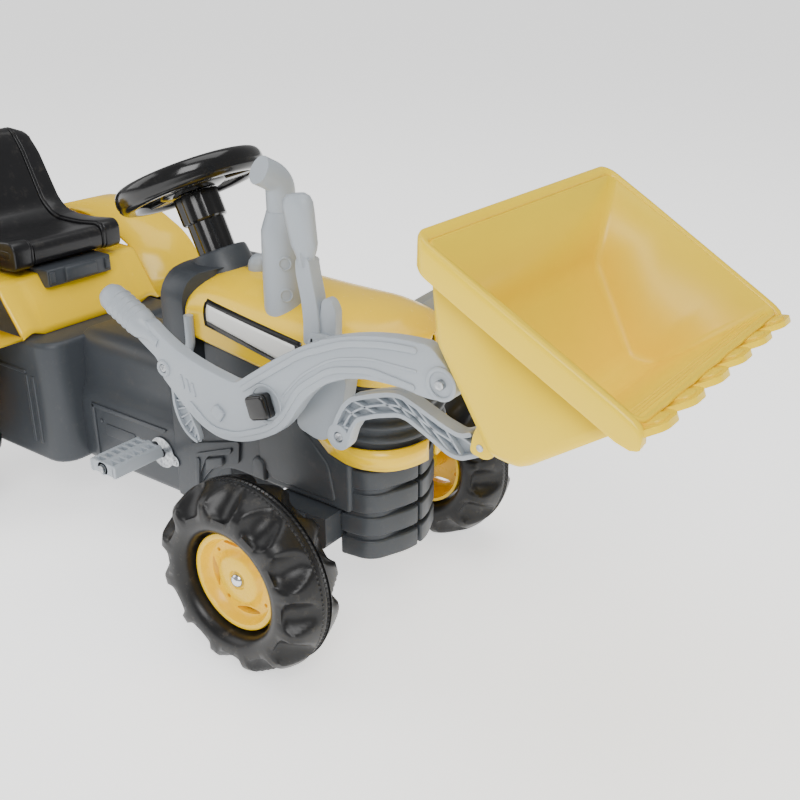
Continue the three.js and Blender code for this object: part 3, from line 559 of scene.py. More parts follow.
stations = [HOOD_BACK, -186, -176, -158, -130, -95, -60, -30, 0, 20, 33, 45, 58]
stations += [NOSE_TIP - 66 * (1 - k / 12) ** 2 for k in range(1, 12)] + [NOSE_TIP - 0.15]
bm = bmesh.new()
lofted(bm, [hood_section(bm, x) for x in stations])
mouth = [f for f in bm.faces if f.calc_center_median().x > 58 and GRILLE_LOW < f.calc_center_median().z < GRILLE_HIGH]
bmesh.ops.delete(bm, geom=mouth, context="FACES")
bmesh.ops.remove_doubles(bm, verts=bm.verts, dist=1.0)
# The real moulding's back rim turns down and in behind the dash; here the back edge is left open.
finish(bm, "hood_shell", YELLOW, "chassis", "hood", wall=4, sharp=50)

# The grille: dark, its five ribs running round the nose.
bm = bmesh.new()
grille_levels = []
for k in range(5):
    low = GRILLE_LOW - 2 + k * 16.4
    grille_levels += [(low, 6.5), (low + 2.5, 8.5), (low + 6.5, 8.5), (low + 8.5, 3.6), (low + 11, 2.6), (low + 14, 3.4)]
grille_levels.append((GRILLE_HIGH + 3, 7))
rings = []
for z, depth in grille_levels:
    line = []
    for k in range(-24, 25):
        angle = math.radians(90 * k / 24)
        x = 50 + (NOSE_TIP - 50) * math.cos(angle)
        line.append(bm.verts.new((max(x, 50) - depth * math.cos(angle), math.copysign(1, k) * max(hood_half(x) - depth, 0), z)))
    rings.append([bm.edges.new(pair) for pair in zip(line, line[1:])])
lofted(bm, rings)
finish(bm, "grille_panel", GRAPHITE, "chassis", "front_grille", wall=3, sharp=60)

# A plain dark flash printed on each side of the hood, with a pale stripe inside it.
# Vinyl transfer: thin, smooth and a little glossier than the wall under it.
FLASH_DARK = moulded_plastic("vinyl_transfer_dark", "#161616", "#1d1d1e", 0.25, 0.9, 0.1)
FLASH_PALE = moulded_plastic("vinyl_transfer_pale", "#f4f4f0", "#e9e9e4", 0.25, 0.9, 0.1)


def hood_skin(x, z):
    """How far out the hood's side lies at one place."""
    top = height(CREST, x)
    rise = min(max((z - top + CROWN) / CROWN, 0), 1)
    return hood_half(x) * math.sqrt(1 - rise ** 2.1)


flash_parts = (("dark", FLASH_DARK, (-160, -2), (352, 384), (321, 364), 0.5),
               ("pale", FLASH_PALE, (-154, -12), (359, 378), (329, 358), 0.9))
for name, side in SIDES:
    for part, material, ends, back, front, proud in flash_parts:
        bm = bmesh.new()
        rows = []
        for k in range(25):
            share = k / 24
            x = ends[0] + (ends[1] - ends[0]) * share
            low, high = (back[i] + (front[i] - back[i]) * share for i in (0, 1))
            verts = []
            for i in range(7):
                z = low + (high - low) * i / 6
                verts.append(bm.verts.new((x + 0.12 * (high - z), side * (hood_skin(x, z) + proud), z)))
            rows.append([bm.edges.new(pair) for pair in zip(verts, verts[1:])])
        lofted(bm, rows)
        finish(bm, f"hood_flash_{part}_{name}", material, "chassis", wall=0.35)

# ------------------------------------------------------------------ rear deck
# One yellow moulding screwed over the rear box: a sloped front panel and flat seat platform in the
# middle and a mudguard each side, open underneath. Its front hem rises in a wave over the box.
DECK_HEM, DECK_TOP, DECK_HALF, GUARD_IN = 274, 345, 237.5, 122
guard_line = [(-477, DECK_HEM), (-500, 310, 14), (-525, 344, 22), (-604, 383, 40), (-680, 389, 30),
              (-745, 380, 40), (-800, 338, 40), (-817, DECK_HEM)]
arch = [(-WHEELBASE + 169 * math.cos(math.radians(a)), REAR_RADIUS + 169 * math.sin(math.radians(a)))
        for a in range(135, 44, -6)]
for name, side in SIDES:
    bm = bmesh.new()
    shape = slab(bm, guard_line + [(-784, DECK_HEM)] + arch + [(-542, DECK_HEM)], side * DECK_HALF, side * GUARD_IN)
    inner = [f for f in bm.faces if abs(f.calc_center_median().y - side * GUARD_IN) < 0.01]
    under = [f for f in bm.faces if f.normal.z < -0.3 and f.calc_center_median().z < 330 and f not in inner]
    bmesh.ops.delete(bm, geom=under, context="FACES")
    rims = [f for f in bm.faces if abs(f.calc_center_median().y - side * GUARD_IN) < 0.01]
    bmesh.ops.delete(bm, geom=rims, context="FACES")
    bmesh.ops.recalc_face_normals(bm, faces=bm.faces)
    top_edges = [e for e in edges_over(bm.edges, 60)
                 if all(abs(v.co.y - side * DECK_HALF) < 0.01 for v in e.verts)]
    bmesh.ops.bevel(bm, geom=top_edges, offset=11, offset_type="OFFSET", affect="EDGES", segments=5,
                    profile=0.5, clamp_overlap=True, material=-1)
    finish(bm, f"mudguard_{name}", YELLOW, "chassis", "rear_deck" if side < 0 else (), wall=4)

bm = bmesh.new()
front_rows = 9
hem_wave = []
columns = 49
for k in range(columns):
    y = -GUARD_IN + 2 * GUARD_IN * k / (columns - 1)
    lift = 7.0 * max(0.0, 1 - abs((abs(y) - 104) / 16)) ** 0.7
    hem_wave.append((y, lift))
loops = []
for row in range(front_rows + 8):
    if row < front_rows:
        part = row / (front_rows - 1)
        line = [(-477 - 48 * part, y, DECK_HEM + lift * (1 - part) + (DECK_TOP - DECK_HEM) * part) for y, lift in hem_wave]
    else:
        part = (row - front_rows + 1) / 8
        line = [(-525 - 235 * part, y, DECK_TOP + 2.0 * math.sin(math.pi * part)) for y, _ in hem_wave]
    raised = 3.0 * math.sin(math.pi * min(row / front_rows, 1))
    verts = []
    for x, y, z in line:
        crease = 1 / (1 + math.exp((abs(y) - 84) / 2.5))
        verts.append(bm.verts.new((x + raised * crease, y, z + 0.5 * raised * crease)))
    loops.append([bm.edges.new(pair) for pair in zip(verts, verts[1:])])
lofted(bm, loops)
ridge = [e for e in bm.edges if all(abs(v.co.x + 525) < 4 for v in e.verts) and len(e.link_faces) == 2]
bmesh.ops.bevel(bm, geom=ridge, offset=6, offset_type="OFFSET", affect="EDGES", segments=4, profile=0.5,
                clamp_overlap=True, material=-1)
finish(bm, "seat_platform", YELLOW, "chassis", wall=4)

# ------------------------------------------------------------------ seat
# A hollow black seat with a dipped cushion, a raised bolster down each side that runs on up the
# backrest, and a parting groove beside each bolster. It sits on a grey catch plate.
# Blow-moulded polyethylene, black: satin with scuffs where the rider slides on and off.
SEAT_BLACK = moulded_plastic("blown_polyethylene_seat", "#161618", "#1e1e20", 0.34, 1.3, 0.3, coat=0.1, dust=0.12)
SEAT_HALF = 92


def seat_line(drop, shrink):
    return [(-515 - shrink, 356 + shrink, 10), (-514 - shrink, 399 - drop - shrink * 0.3, 16),
            (-590, 391 - drop, 34), (-650 + shrink, 396 - drop, 34), (-690 - drop * 0.4, 498, 22),
            (-708 - drop * 0.3, 524 - shrink, 15), (-738 + shrink * 0.6, 512 - shrink * 0.6, 15),
            (-708 + shrink * 0.4, 356 + shrink, 22), (-560, 355 + shrink)]


bm = bmesh.new()
slab(bm, seat_line(5, 2), -58, 58, soft=4)
for _, side in SIDES:
    slab(bm, seat_line(2, 1), side * 59.5, side * 66, soft=2.5)
    slab(bm, seat_line(0, 0), side * 64, side * SEAT_HALF, soft=9)
    slab(bm, [(-524, 372, 8), (-640, 372, 8), (-640, 384, 5), (-524, 384, 5)], side * 80, side * (SEAT_HALF + 0.4), soft=2)
for v in bm.verts:
    outward = max(0, abs(v.co.y) - 40) / 52
    upward = min(max((v.co.z - 440) / 84, 0), 1)
    v.co.y *= 1 - 0.10 * upward ** 1.5
    v.co.z -= 12 * upward * outward ** 2.4
finish(bm, "seat_moulding", SEAT_BLACK, "chassis", "seat")

bm = bmesh.new()
slab(bm, [(-511.4, 326, 1), (-498, 329, 2), (-498, 353.4, 3), (-588, 353.4), (-588, 345.6), (-523, 345.6)], -55, 55, soft=1.6)
slab(bm, [(-508, 329, 3), (-493, 331, 4), (-493, 352.6, 5), (-508, 352.6)], -27, 27, soft=3)
for _, side in SIDES:
    slab(bm, [(-500, 332, 2), (-495.5, 333, 2), (-495.5, 350, 2), (-500, 350)], side * 44, side * 53, soft=1.5)
finish(bm, "seat_catch", GRAPHITE, "chassis", "seat_bracket")

# ------------------------------------------------------------------ dash and steering
# A grey hoop over the back of the hood ends in a sleeve for the steering column. The fluted black
# column steps down once below the wheel, which has a fat rim, three flat spokes and a domed hub.
STEER_TOP, STEER_FOOT = Vector((-249, 0, 500)), Vector((-75, 0, 131))
STEER_AXIS = (STEER_TOP - STEER_FOOT).normalized()
DASH_BACK, DASH_FRONT = -231.5, -169.4

bm = bmesh.new()
hoop = slab(bm, [(-81, 263.5, 3), (-63, 263.5, 3), (-63, 281, 20), (63, 281, 20), (63, 263.5, 3), (81, 263.5, 3),
                 (81, 398, 26), (44, 409, 60), (-44, 409, 60), (-81, 398, 26)], DASH_BACK, DASH_FRONT, "YZ", soft=7)
for v in bm.verts:
    v.co.x = DASH_BACK + (v.co.x - DASH_BACK) * (0.62 + 0.38 * math.exp(-(v.co.y / 52) ** 4))
slab(bm, [(-60, 300, 8), (60, 300, 8), (60, 388, 30), (-60, 388, 30)], DASH_BACK - 1.6, DASH_BACK + 4, "YZ", soft=2)
collar_foot = Vector((-183, 0, 362))
turned(bm, [(0, 0), (43, 0), (42, 20), (40, 34), (37, 58), (35.5, 61), (31, 62), (24.5, 61), (24, 50), (0, 50)],
       collar_foot, STEER_AXIS, steps=64, soft=0.8)
for k in range(8):
    turn = Matrix.Rotation(math.radians(45 * k), 3, STEER_AXIS)
    out = turn @ STEER_AXIS.orthogonal().normalized()
    foot = collar_foot + STEER_AXIS * 18 + out * 41.5
    round_bar(bm, foot, foot + STEER_AXIS * 12, 4, soft=1, steps=10)
for v in bm.verts:
    v.co.x = max(v.co.x, -233)
finish(bm, "dash_hoop", GRAPHITE, "chassis", "steering_bracket")

# Injection-moulded polypropylene, black: clean and glossy, with faint flow marks.
GLOSS_BLACK = moulded_plastic("moulded_polypropylene_black", "#0f0f10", "#171719", 0.2, 0.8, 0.12, coat=0.3, dust=0.05)
bm = bmesh.new()
turned(bm, [(5.5, -101), (22, -101), (24.5, -99), (24.5, -52), (28, -51), (29.5, -49), (29.5, -16), (5.5, -16), (5.5, -101)],
       STEER_TOP, STEER_AXIS, steps=48)
for v in bm.verts:
    along = (v.co - STEER_TOP).dot(STEER_AXIS)
    out = v.co - STEER_TOP - STEER_AXIS * along
    if out.length > 15:
        angle = math.atan2(out.y, out.dot(STEER_AXIS.cross(Vector((0, 1, 0)))))
        v.co -= out.normalized() * 2.4 * (0.5 + 0.5 * math.cos(8 * angle)) ** 3
finish(bm, "column_sleeve", GLOSS_BLACK, "steering", "steering_column", sharp=30)

WHEEL_RING, GRIP_HALF, GRIP_THICK = 84.5, 12.3, 15
bm = bmesh.new()
ring = []
for k in range(37):
    angle = math.tau * k / 36
    seam = 0.9 if k == 34 else 0
    ring.append((WHEEL_RING + (GRIP_HALF - seam) * math.copysign(abs(math.cos(angle)) ** 0.8, math.cos(angle)),
                 GRIP_THICK * math.copysign(abs(math.sin(angle)) ** 0.9, math.sin(angle))))
turned(bm, ring, STEER_TOP, STEER_AXIS, steps=96)
turned(bm, [(0, -14), (34, -14), (43, -11), (46, -4), (38, 2), (26, 3.8), (0, 3.8)], STEER_TOP, STEER_AXIS, steps=64, soft=1.2)
forward = STEER_AXIS.cross(Vector((0, 1, 0))) * -1
for k in range(3):
    along = Matrix.Rotation(math.radians(120 * k + 180), 3, STEER_AXIS) @ forward
    across = STEER_AXIS.cross(along)
    before = set(bm.verts)
    faces = slab(bm, [(24, -18, 4), (56, -12, 20), (80, -18, 4), (80, 18, 4), (56, 12, 20), (24, 18, 4)], -11, -3, "XY", soft=2.4)
    slab(bm, [(30, -6, 4), (76, -5, 4), (76, 5, 4), (30, 6, 4)], -5, -0.5, "XY", soft=1.6)
    place = Matrix((along, across, STEER_AXIS)).transposed()
    for v in bm.verts:
        if v not in before:
            v.co = STEER_TOP + place @ v.co
finish(bm, "wheel_moulding", GLOSS_BLACK, "steering", "steering_wheel")

bm = bmesh.new()
turned(bm, [(0, 4.4), (20, 4.4), (21, 5.5), (19.5, 8), (12, 9.5), (0, 10)], STEER_TOP, STEER_AXIS, steps=48)
turned(bm, [(14.5, 8.7), (15.5, 10), (17, 8.6), (14.5, 8.7)], STEER_TOP, STEER_AXIS, steps=48)
finish(bm, "hub_badge", GLOSS_BLACK, "steering", "wheel_centre_cap")

# ------------------------------------------------------------------ exhaust, filler cap and lever rest
# Light grey hollow moulding: a plain drum with two pressed rings, a shoulder, and a pipe that bends
# over to the right. It plugs into a dimple in the hood.
# Moulded polypropylene, cool light grey: matt, with a fine tooth and faint streaks.
LIGHT_GREY = moulded_plastic("moulded_polypropylene_grey", "#a3aab1", "#979ea5", 0.36, 0.9, 0.22, coat=0.05, dust=0.06)
STACK, STACK_FOOT, STACK_SHOULDER, STACK_TOP = Vector((-54, -46, 0)), 382, 478, 548
bm = bmesh.new()
turned(bm, [(0, STACK_FOOT), (25, STACK_FOOT), (24.5, STACK_SHOULDER - 20), (24, STACK_SHOULDER), (22, STACK_SHOULDER + 7),
            (18.5, STACK_SHOULDER + 17), (17, STACK_SHOULDER + 22), (0, STACK_SHOULDER + 22)], STACK, (0, 0, 1), steps=48)
bent_bar(bm, [STACK + Vector((0, 0, STACK_SHOULDER + 18)), STACK + Vector((0, 0, STACK_TOP - 14)),
              STACK + Vector((-7, -25, STACK_TOP))], 16.6, bend=30)
for z in (STACK_SHOULDER - 33, STACK_SHOULDER - 70):
    outward = Vector((0.72, -0.69, 0)).normalized()
    centre = STACK + outward * 24.1 + Vector((0, 0, z))
    turned(bm, [(5.6, -1.5), (5.6, 1.1), (6.8, 1.9), (8.6, 1.1), (8.6, -1.5)], centre, outward, steps=32)
    turned(bm, [(0, 0.4), (5.7, 0.3), (5.7, -1), (0, -1)], centre, outward, steps=32)
finish(bm, "stack_moulding", LIGHT_GREY, "chassis", "exhaust_stack")

bm = bmesh.new()
turned(bm, [(0, 396), (13.8, 396), (13.8, 413), (12.4, 418), (9, 422.6), (4.6, 425.2), (0, 425.8)],
       (-138, 0, 0), (0, 0, 1), steps=40, soft=0.3)
finish(bm, "filler_dome", LIGHT_GREY, "chassis", "filler_cap")

bm = bmesh.new()
bent_bar(bm, [(-222, -78.4, 309), (-222, -85, 309), (-190, -85, 309), (-179, -85, 322), (-179, -85, 361.6)], 6, bend=9)
finish(bm, "rest_moulding", LIGHT_GREY, "chassis", "lever_rest_hook")

# ------------------------------------------------------------------ loader arms
# Two light grey arms, each an outer moulding with a raised border, a sunk keyhole panel and three
# short ribs, backed by a ribbed half. The right one grows a handle that lifts the whole loader.
# Outline in two runs, top and bottom, from the screw boss to the round end at the bucket shaft.
ARM_OUT, ARM_MID, ARM_IN = 152, 134.3, 127.3
PIVOT, HINGE, SCREW, DIAMOND = Vector((6, 0, 316)), Vector((234, 0, 396)), (-156, 319), (-69, 285)
arm_top = [(-41, 328, 10), (-6, 353, 30), (55, 394, 50), (120, 421, 60), (190, 432, 40), (221, 431, 10), (232, 420, 8)]
NOSE_RADIUS = 17
arm_nose = [(HINGE.x + NOSE_RADIUS * math.cos(math.radians(a)), HINGE.z + NOSE_RADIUS * math.sin(math.radians(a)))
            for a in range(60, -76, -15)]
arm_low = [(220, 376, 12), (166, 384, 50), (108, 371, 40), (66, 343, 40), (32, 293, 30), (4, 274, 30),
           (-40, 254, 40), (-88, 252, 40), (-125, 276, 30), (-162, 308, 8)]
handle = [(-166, 328, 6), (-200, 348, 14), (-206, 362, 8), (-178, 374, 10), (-148, 353, 26), (-100, 337, 26)]
right_arm = arm_top + arm_nose + arm_low + handle
left_arm = arm_top + arm_nose + arm_low[:-2] + [(-130, 270, 24), (-136, 302, 22), (-100, 330, 26)]


def band(bm, points, width, low, high, soft=1.0):
    """A raised strip along a run of points, given as (x, z), with both ends rounded."""
    flat = [Vector((x, z)) for x, z in points]
    left, right = [], []
    for k, here in enumerate(flat):
        before, after = flat[max(k - 1, 0)], flat[min(k + 1, len(flat) - 1)]
        side_way = (after - before).normalized()
        side_way = Vector((-side_way.y, side_way.x)) * width / 2
        left.append(here + side_way)
        right.append(here - side_way)
    corners = [(*v, width / 2.1 if k in (0, len(flat) - 1) else 14) for k, v in enumerate(left)]
    corners += [(*v, width / 2.1 if k in (0, len(flat) - 1) else 14) for k, v in reversed(list(enumerate(right)))]
    slab(bm, corners, low, high, soft=soft)


for name, side in SIDES:
    bm = bmesh.new()
    outer = side * (ARM_OUT - 2.4)
    slab(bm, right_arm if side < 0 else left_arm, outer, side * ARM_MID, soft=2.6)
    face, proud = side * (ARM_OUT - 4), side * (ARM_OUT - 0.7)
    band(bm, [(-30, 324), (6, 349), (60, 386), (118, 411), (170, 421), (206, 423)], 7, face, proud)
    band(bm, [(-116, 286), (-84, 262), (-44, 264), (2, 284), (24, 300), (54, 346), (98, 378), (150, 390), (204, 384)], 7, face, proud)
    band(bm, [(30, 330), (58, 362), (100, 390), (148, 402), (206, 402)], 3, face, side * (ARM_OUT - 1.5), soft=0.6)
    for k in range(3):
        band(bm, [(-128 + 9 * k, 318 - 3 * k), (-124 + 9 * k, 301 - 3 * k)], 4, face, side * (ARM_OUT - 1.2), soft=0.8)
    turned(bm, [(13, -2), (13, 1.4), (14, 2), (16.4, 2), (17.2, 1.4), (17.2, -2)],
           (HINGE.x, side * (ARM_OUT - 2.4), HINGE.z), (0, side, 0), steps=40)
    turned(bm, [(19, -2), (19.6, 1.2), (22.4, 1.8), (23.4, 1.2), (24, -2)],
           (PIVOT.x, side * (ARM_OUT - 2.4), PIVOT.z), (0, side, 0), steps=48)
    diamond = [(DIAMOND[0] + 12 * math.cos(math.radians(a)), DIAMOND[1] + 12 * math.sin(math.radians(a)), 4)
               for a in (10, 100, 190, 280)]
    slab(bm, diamond, face, side * (ARM_OUT + 1.2), soft=1.6)
    if side < 0:
        turned(bm, [(5.6, -1), (5.6, 1.6), (6.6, 2.2), (9, 2.2), (10.4, 1), (10.8, -1)],
               (SCREW[0], side * (ARM_OUT - 2.4), SCREW[1]), (0, side, 0), steps=36)
        grip_foot, grip_end = Vector((-168, side * 143, 351)), Vector((-250, side * 143, 391))
        along = (grip_end - grip_foot).normalized()
        reach = (grip_end - grip_foot).length
        turned(bm, [(0, -6), (9, -6), (9.5, 10), (12, 17), (16.5, 24), (17.6, 31), (17.2, reach - 20),
                    (16.6, reach - 6), (13, reach + 1), (7, reach + 4), (0, reach + 4.6)], grip_foot, along, steps=40)
        for k in range(5):
            centre = grip_foot + along * (36 + 9 * k)
            turned(bm, [(17.1, -1.6), (18.2, -0.6), (18.2, 0.6), (17.1, 1.6)], centre, along, steps=40)
    finish(bm, f"arm_shell_{name}", LIGHT_GREY, "loader_arms", f"loader_arm_{name}")

    bm = bmesh.new()
    low, high = side * ARM_IN, side * (ARM_MID - 0.3)
    slab(bm, [(-20, 329, 12), (55, 386, 50), (130, 415, 60), (214, 424, 12), (248, 410, 12), (248, 384, 10), (220, 378, 12),
              (166, 386, 50), (108, 373, 40), (66, 345, 40), (32, 297, 30), (4, 278, 30), (-40, 258, 40), (-88, 258, 30),
              (-118, 284, 30), (-70, 322, 30)], low, high, soft=1.4)
    if side < 0:
        rim_line = [(-166, 284, 6), (-163, 250, 20), (-146, 226, 14), (-124, 221, 8), (-126, 240, 14), (-142, 269, 20), (-120, 298, 14), (-158, 306, 8)]
        slab(bm, rim_line, low, side * (ARM_MID - 5), soft=0.8)
        ridge = [(-163, 286), (-162, 262), (-154, 242), (-141, 229), (-127, 225)]
        band(bm, ridge, 4, low, high, soft=0.8)
        band(bm, [(-143, 284), (-141, 268), (-133, 252), (-125, 238), (-124, 228)], 4, low, high, soft=0.8)
        for k in range(6):
            angle = math.radians(192 + 11 * k)
            near = (-116 + 30 * math.cos(angle), 283 + 44 * math.sin(angle))
            far = (-116 + 46 * math.cos(angle), 283 + 60 * math.sin(angle))
            band(bm, [near, far], 2.4, low, side * (ARM_MID - 2), soft=0.5)
    finish(bm, f"arm_rib_{name}", LIGHT_GREY, "loader_arms", f"arm_inner_{name}")

    # Black bevelled nut pressed over the pivot shaft where it comes through the arm.
    bm = bmesh.new()
    low, high = side * (ARM_OUT + 0.6), side * (ARM_OUT + 15)
    for half, y_low, y_high in ((14.6, low, side * (ARM_OUT + 8)), (14.4, side * (ARM_OUT + 7), high)):
        tilt = math.radians(18)
        corners = []
        for a in (45, 135, 225, 315):
            a = math.radians(a)
            corners.append((PIVOT.x + half * 1.38 * math.cos(a + tilt), PIVOT.z + half * 1.38 * math.sin(a + tilt), 5))
        slab(bm, corners, y_low, y_high, soft=3.4 if y_high == high else 0.6)
    finish(bm, f"nut_{name}", GLOSS_BLACK, "chassis", f"pivot_knob_{name}")

# ------------------------------------------------------------------ screws and shafts
# Plated steel: self-tapping screws with a cross recess, and plain round rod for the axles and links.
ZINC = bpy.data.materials.new("zinc_plated_steel")
ZINC.use_nodes = True
tree = ZINC.node_tree
surface = tree.nodes["Principled BSDF"]
surface.inputs["Metallic"].default_value = 1.0
surface.inputs["Roughness"].default_value = 0.34
place = tree.nodes.new("ShaderNodeTexCoord")
cloud = add(tree, "TexNoise", [(place.outputs["Object"], "Vector")], in_Scale=260.0, in_Detail=5.0)
tint = add(tree, "ValToRGB", [(cloud.outputs["Fac"], "Fac")])
tint.color_ramp.elements[0].position = 0.34
tint.color_ramp.elements[0].color = shade("#8b8f94")
tint.color_ramp.elements[1].position = 0.68
tint.color_ramp.elements[1].color = shade("#c3c6c9")
tree.links.new(tint.outputs["Color"], surface.inputs["Base Color"])
relief = add(tree, "Bump", [(cloud.outputs["Fac"], "Height")], in_Strength=0.15, in_Distance=0.0001)
tree.links.new(relief.outputs["Normal"], surface.inputs["Normal"])


def cross_screw(bm, centre, outward, radius):
    turned(bm, [(0, -4), (radius * 0.55, -4), (radius * 0.6, -1.5), (radius, -1), (radius, 0), (radius * 0.8, 1.1), (0, 1.5)],
           centre, outward, steps=36)
    across = outward.orthogonal().normalized()
    for way in (across, outward.cross(across)):
        round_bar(bm, centre - way * radius * 0.55 + outward * 1.3, centre + way * radius * 0.55 + outward * 1.3,
                  radius * 0.12, steps=8)


bm = bmesh.new()
cross_screw(bm, Vector((SCREW[0], -ARM_OUT + 2, SCREW[1])), Vector((0, -1, 0)), 5.2)
finish(bm, "handle_fixing", ZINC, "loader_arms", "handle_screw")

# ------------------------------------------------------------------ tilt lever and link
# The grey lever stands behind the right arm, turning on the same shaft: a flat foot, a slim shank and
# a rounded grip. Its fork pushes a link, an open ribbed beam, that tips the bucket.
LEVER_OUT, LEVER_IN = -105.8, -84.3
FORK, EYE = (86, 289), (268, 333)
bm = bmesh.new()
slab(bm, [(8, 289, 12), (22, 334, 12), (32, 392, 8), (63, 392, 8), (67, 372, 10), (83, 346, 14), (74, 300, 12),
          (50, 262, 16), (12, 272, 14)], LEVER_OUT, LEVER_IN, soft=3)
band(bm, [(14, 291), (27, 334), (37, 386)], 5, LEVER_OUT, LEVER_OUT + 6)
slab(bm, [(22, 372, 8), (24, 412, 20), (14, 458, 10), (17, 474, 8), (34, 476, 8), (36, 460, 10), (45, 418, 20), (46, 386, 8)],
     LEVER_OUT + 2, LEVER_IN - 2, soft=5)
slab(bm, [(40, 384, 4), (48, 430, 6), (59, 433, 6), (67, 421, 5), (66, 388, 3)], LEVER_OUT + 5, LEVER_IN - 5, soft=2)
grip_low, grip_high = Vector((26, -95, 462)), Vector((12.5, -95, 537))
along = (grip_high - grip_low).normalized()
reach = (grip_high - grip_low).length
turned(bm, [(0, 0), (9, 0), (10.5, 8), (14.5, 15), (17, 22), (19.5, 56), (19.5, reach - 11), (17, reach - 5), (11, reach - 1), (0, reach)],
       grip_low, along, steps=40)
for v in bm.verts:
    if v.co.z > 470:
        v.co.y = -95 + (v.co.y + 95) * 0.62
for v in bm.verts:
    v.co.y = min(max(v.co.y, LEVER_OUT), LEVER_IN)
finish(bm, "lever_moulding", LIGHT_GREY, "tilt_lever", "tilt_lever")

LINK_OUT, LINK_IN = -125.3, -108.2
link_top = [(72, 285), (81, 307), (92, 329), (103, 341), (133, 353), (155, 360), (169, 361), (184, 356), (220, 342),
            (239, 337), (252, 343)]
link_low = [(98, 282), (103, 298), (113, 314), (138, 325), (167, 334), (179, 332), (205, 320), (228, 308), (242, 307), (266, 319)]
bm = bmesh.new()
body_line = [(x, z, 8) for x, z in link_top] + [(262, 347, 5), (277, 341, 6), (281, 329, 6), (274, 319, 5)]
body_line += [(x, z, 8) for x, z in reversed(link_low)] + [(91, 273, 6), (76, 274, 6)]
slab(bm, body_line, LINK_OUT + 9, LINK_IN, soft=1.5)
band(bm, [(x + 1, z - 3) for x, z in link_top], 5, LINK_OUT, LINK_OUT + 11, soft=0.8)
band(bm, [(x - 1, z + 3) for x, z in link_low], 5, LINK_OUT, LINK_OUT + 11, soft=0.8)
middle = [((a[0] + b[0]) / 2, (a[1] + b[1]) / 2) for a, b in zip(link_top, link_low)]
band(bm, middle[1:-1], 2.6, LINK_OUT + 2, LINK_OUT + 11, soft=0.5)
for k in range(1, 10):
    a, b = link_top[k], link_low[k]
    band(bm, [(a[0], a[1] - 4), (b[0], b[1] + 4)], 2.6, LINK_OUT + 2, LINK_OUT + 11, soft=0.5)
for (x, z), radius in ((FORK, 15), (EYE, 13)):
    turned(bm, [(6.2, -9), (6.2, 0), (radius, 0), (radius, -9)], (x, LINK_OUT - 0.15, z), (0, -1, 0), steps=40, soft=0.8)
finish(bm, "link_moulding", LIGHT_GREY, "tilt_link", "tilt_link")

bm = bmesh.new()
cross_screw(bm, Vector((FORK[0], LINK_OUT + 2.2, FORK[1])), Vector((0, -1, 0)), 5.8)
finish(bm, "fork_fixing", ZINC, "tilt_lever", "fork_screw")

# ------------------------------------------------------------------ bucket
# One bright yellow moulding: a scoop with draughted sides, a rolled rim that turns down outside, six
# scalloped teeth, pressed ridges behind them, and lugs at the back for the shaft and the link pin.
# Injection-moulded polypropylene, yellow: smooth satin, scuffed along the lip.
BUCKET_YELLOW = moulded_plastic("moulded_polypropylene_yellow", "#f8d300", "#f2c800", 0.34, 1.0, 0.18,
                                coat=0.06, dust=0.02)
RIM_BACK, RIM_FRONT = Vector((232, 0, 541)), Vector((441, 0, 420))
rim_run = (RIM_FRONT - RIM_BACK)
rim_length = rim_run.length
rim_run.normalize()
scoop = [(233, 538, 181), (231, 439, 162), (287, 337, 155), (323, 334, 158), (441, 419, 172)]

bm = bmesh.new()
halves = {}
for _, side in SIDES:
    rim_mid = [RIM_BACK + rim_run * rim_length * part for part in (0.4, 0.75)]
    low = [bm.verts.new((x, side * half, z)) for x, z, half in scoop]
    high = [bm.verts.new((p.x, side * (180 - 8 * part), p.z)) for p, part in zip(rim_mid, (0.4, 0.75))]
    bm.faces.new((low[0], low[1], high[0]))
    bm.faces.new((low[1], low[2], high[0]))
    bm.faces.new((low[2], high[1], high[0]))
    bm.faces.new((low[2], low[3], high[1]))
    bm.faces.new((low[3], low[4], high[1]))
    halves[side] = low
for k in range(len(scoop) - 1):
    bm.faces.new((halves[-1][k], halves[-1][k + 1], halves[1][k + 1], halves[1][k]))
bmesh.ops.recalc_face_normals(bm, faces=bm.faces)
bends = edges_over(bm.edges, 14)
bmesh.ops.bevel(bm, geom=bends, offset=13, offset_type="OFFSET", affect="EDGES", segments=5, profile=0.5,
                clamp_overlap=True, material=-1)
finish(bm, "bucket_scoop", BUCKET_YELLOW, "bucket", "bucket", wall=4, sharp=30)

bm = bmesh.new()
rolled = [(-2, -6), (-1.5, -1), (0.5, 2), (4, 3), (7, 2), (8.6, -1), (9, -5), (9.4, -25), (8.4, -27.5), (6.6, -27), (6, -8), (2, -6)]
path = [(rim_length + 4, 171, 8, 0.1), (rim_length + 3, 171, 5, 0.35), (rim_length, 171.2, 2, 0.6)]
path += [(rim_length - 7, 171.5, 0.5, 0.85), (rim_length - 22, 172, 0, 1), (60, 179, 0, 1)]
corner_radius = 10
for k in range(9):
    angle = math.radians(90 * k / 8)
    path.append((corner_radius * (1 - math.sin(angle)), 180 - corner_radius * (1 - math.cos(angle)), 0, 1))
path += [(u, -y, drop, depth) for u, y, drop, depth in reversed(path)]
rows = []
for k, (u, y, drop, depth) in enumerate(path):
    here = Vector((u, y))
    before, after = path[max(k - 1, 0)], path[min(k + 1, len(path) - 1)]
    run = Vector((after[0] - before[0], after[1] - before[1])).normalized()
    out = Vector((-run.y, run.x))
    if out.dot(here - Vector((110, 0))) < 0:
        out.negate()
    row = []
    for away, up in rolled:
        flat = here + out * away
        point = RIM_BACK + rim_run * flat.x
        row.append(bm.verts.new((point.x, flat.y, point.z + (up if up > -9 else up * depth - 4 * (1 - depth)) - drop)))
    rows.append(row)
for one, two in zip(rows, rows[1:]):
    for k in range(len(rolled)):
        after = (k + 1) % len(rolled)
        bm.faces.new((one[k], one[after], two[after], two[k]))
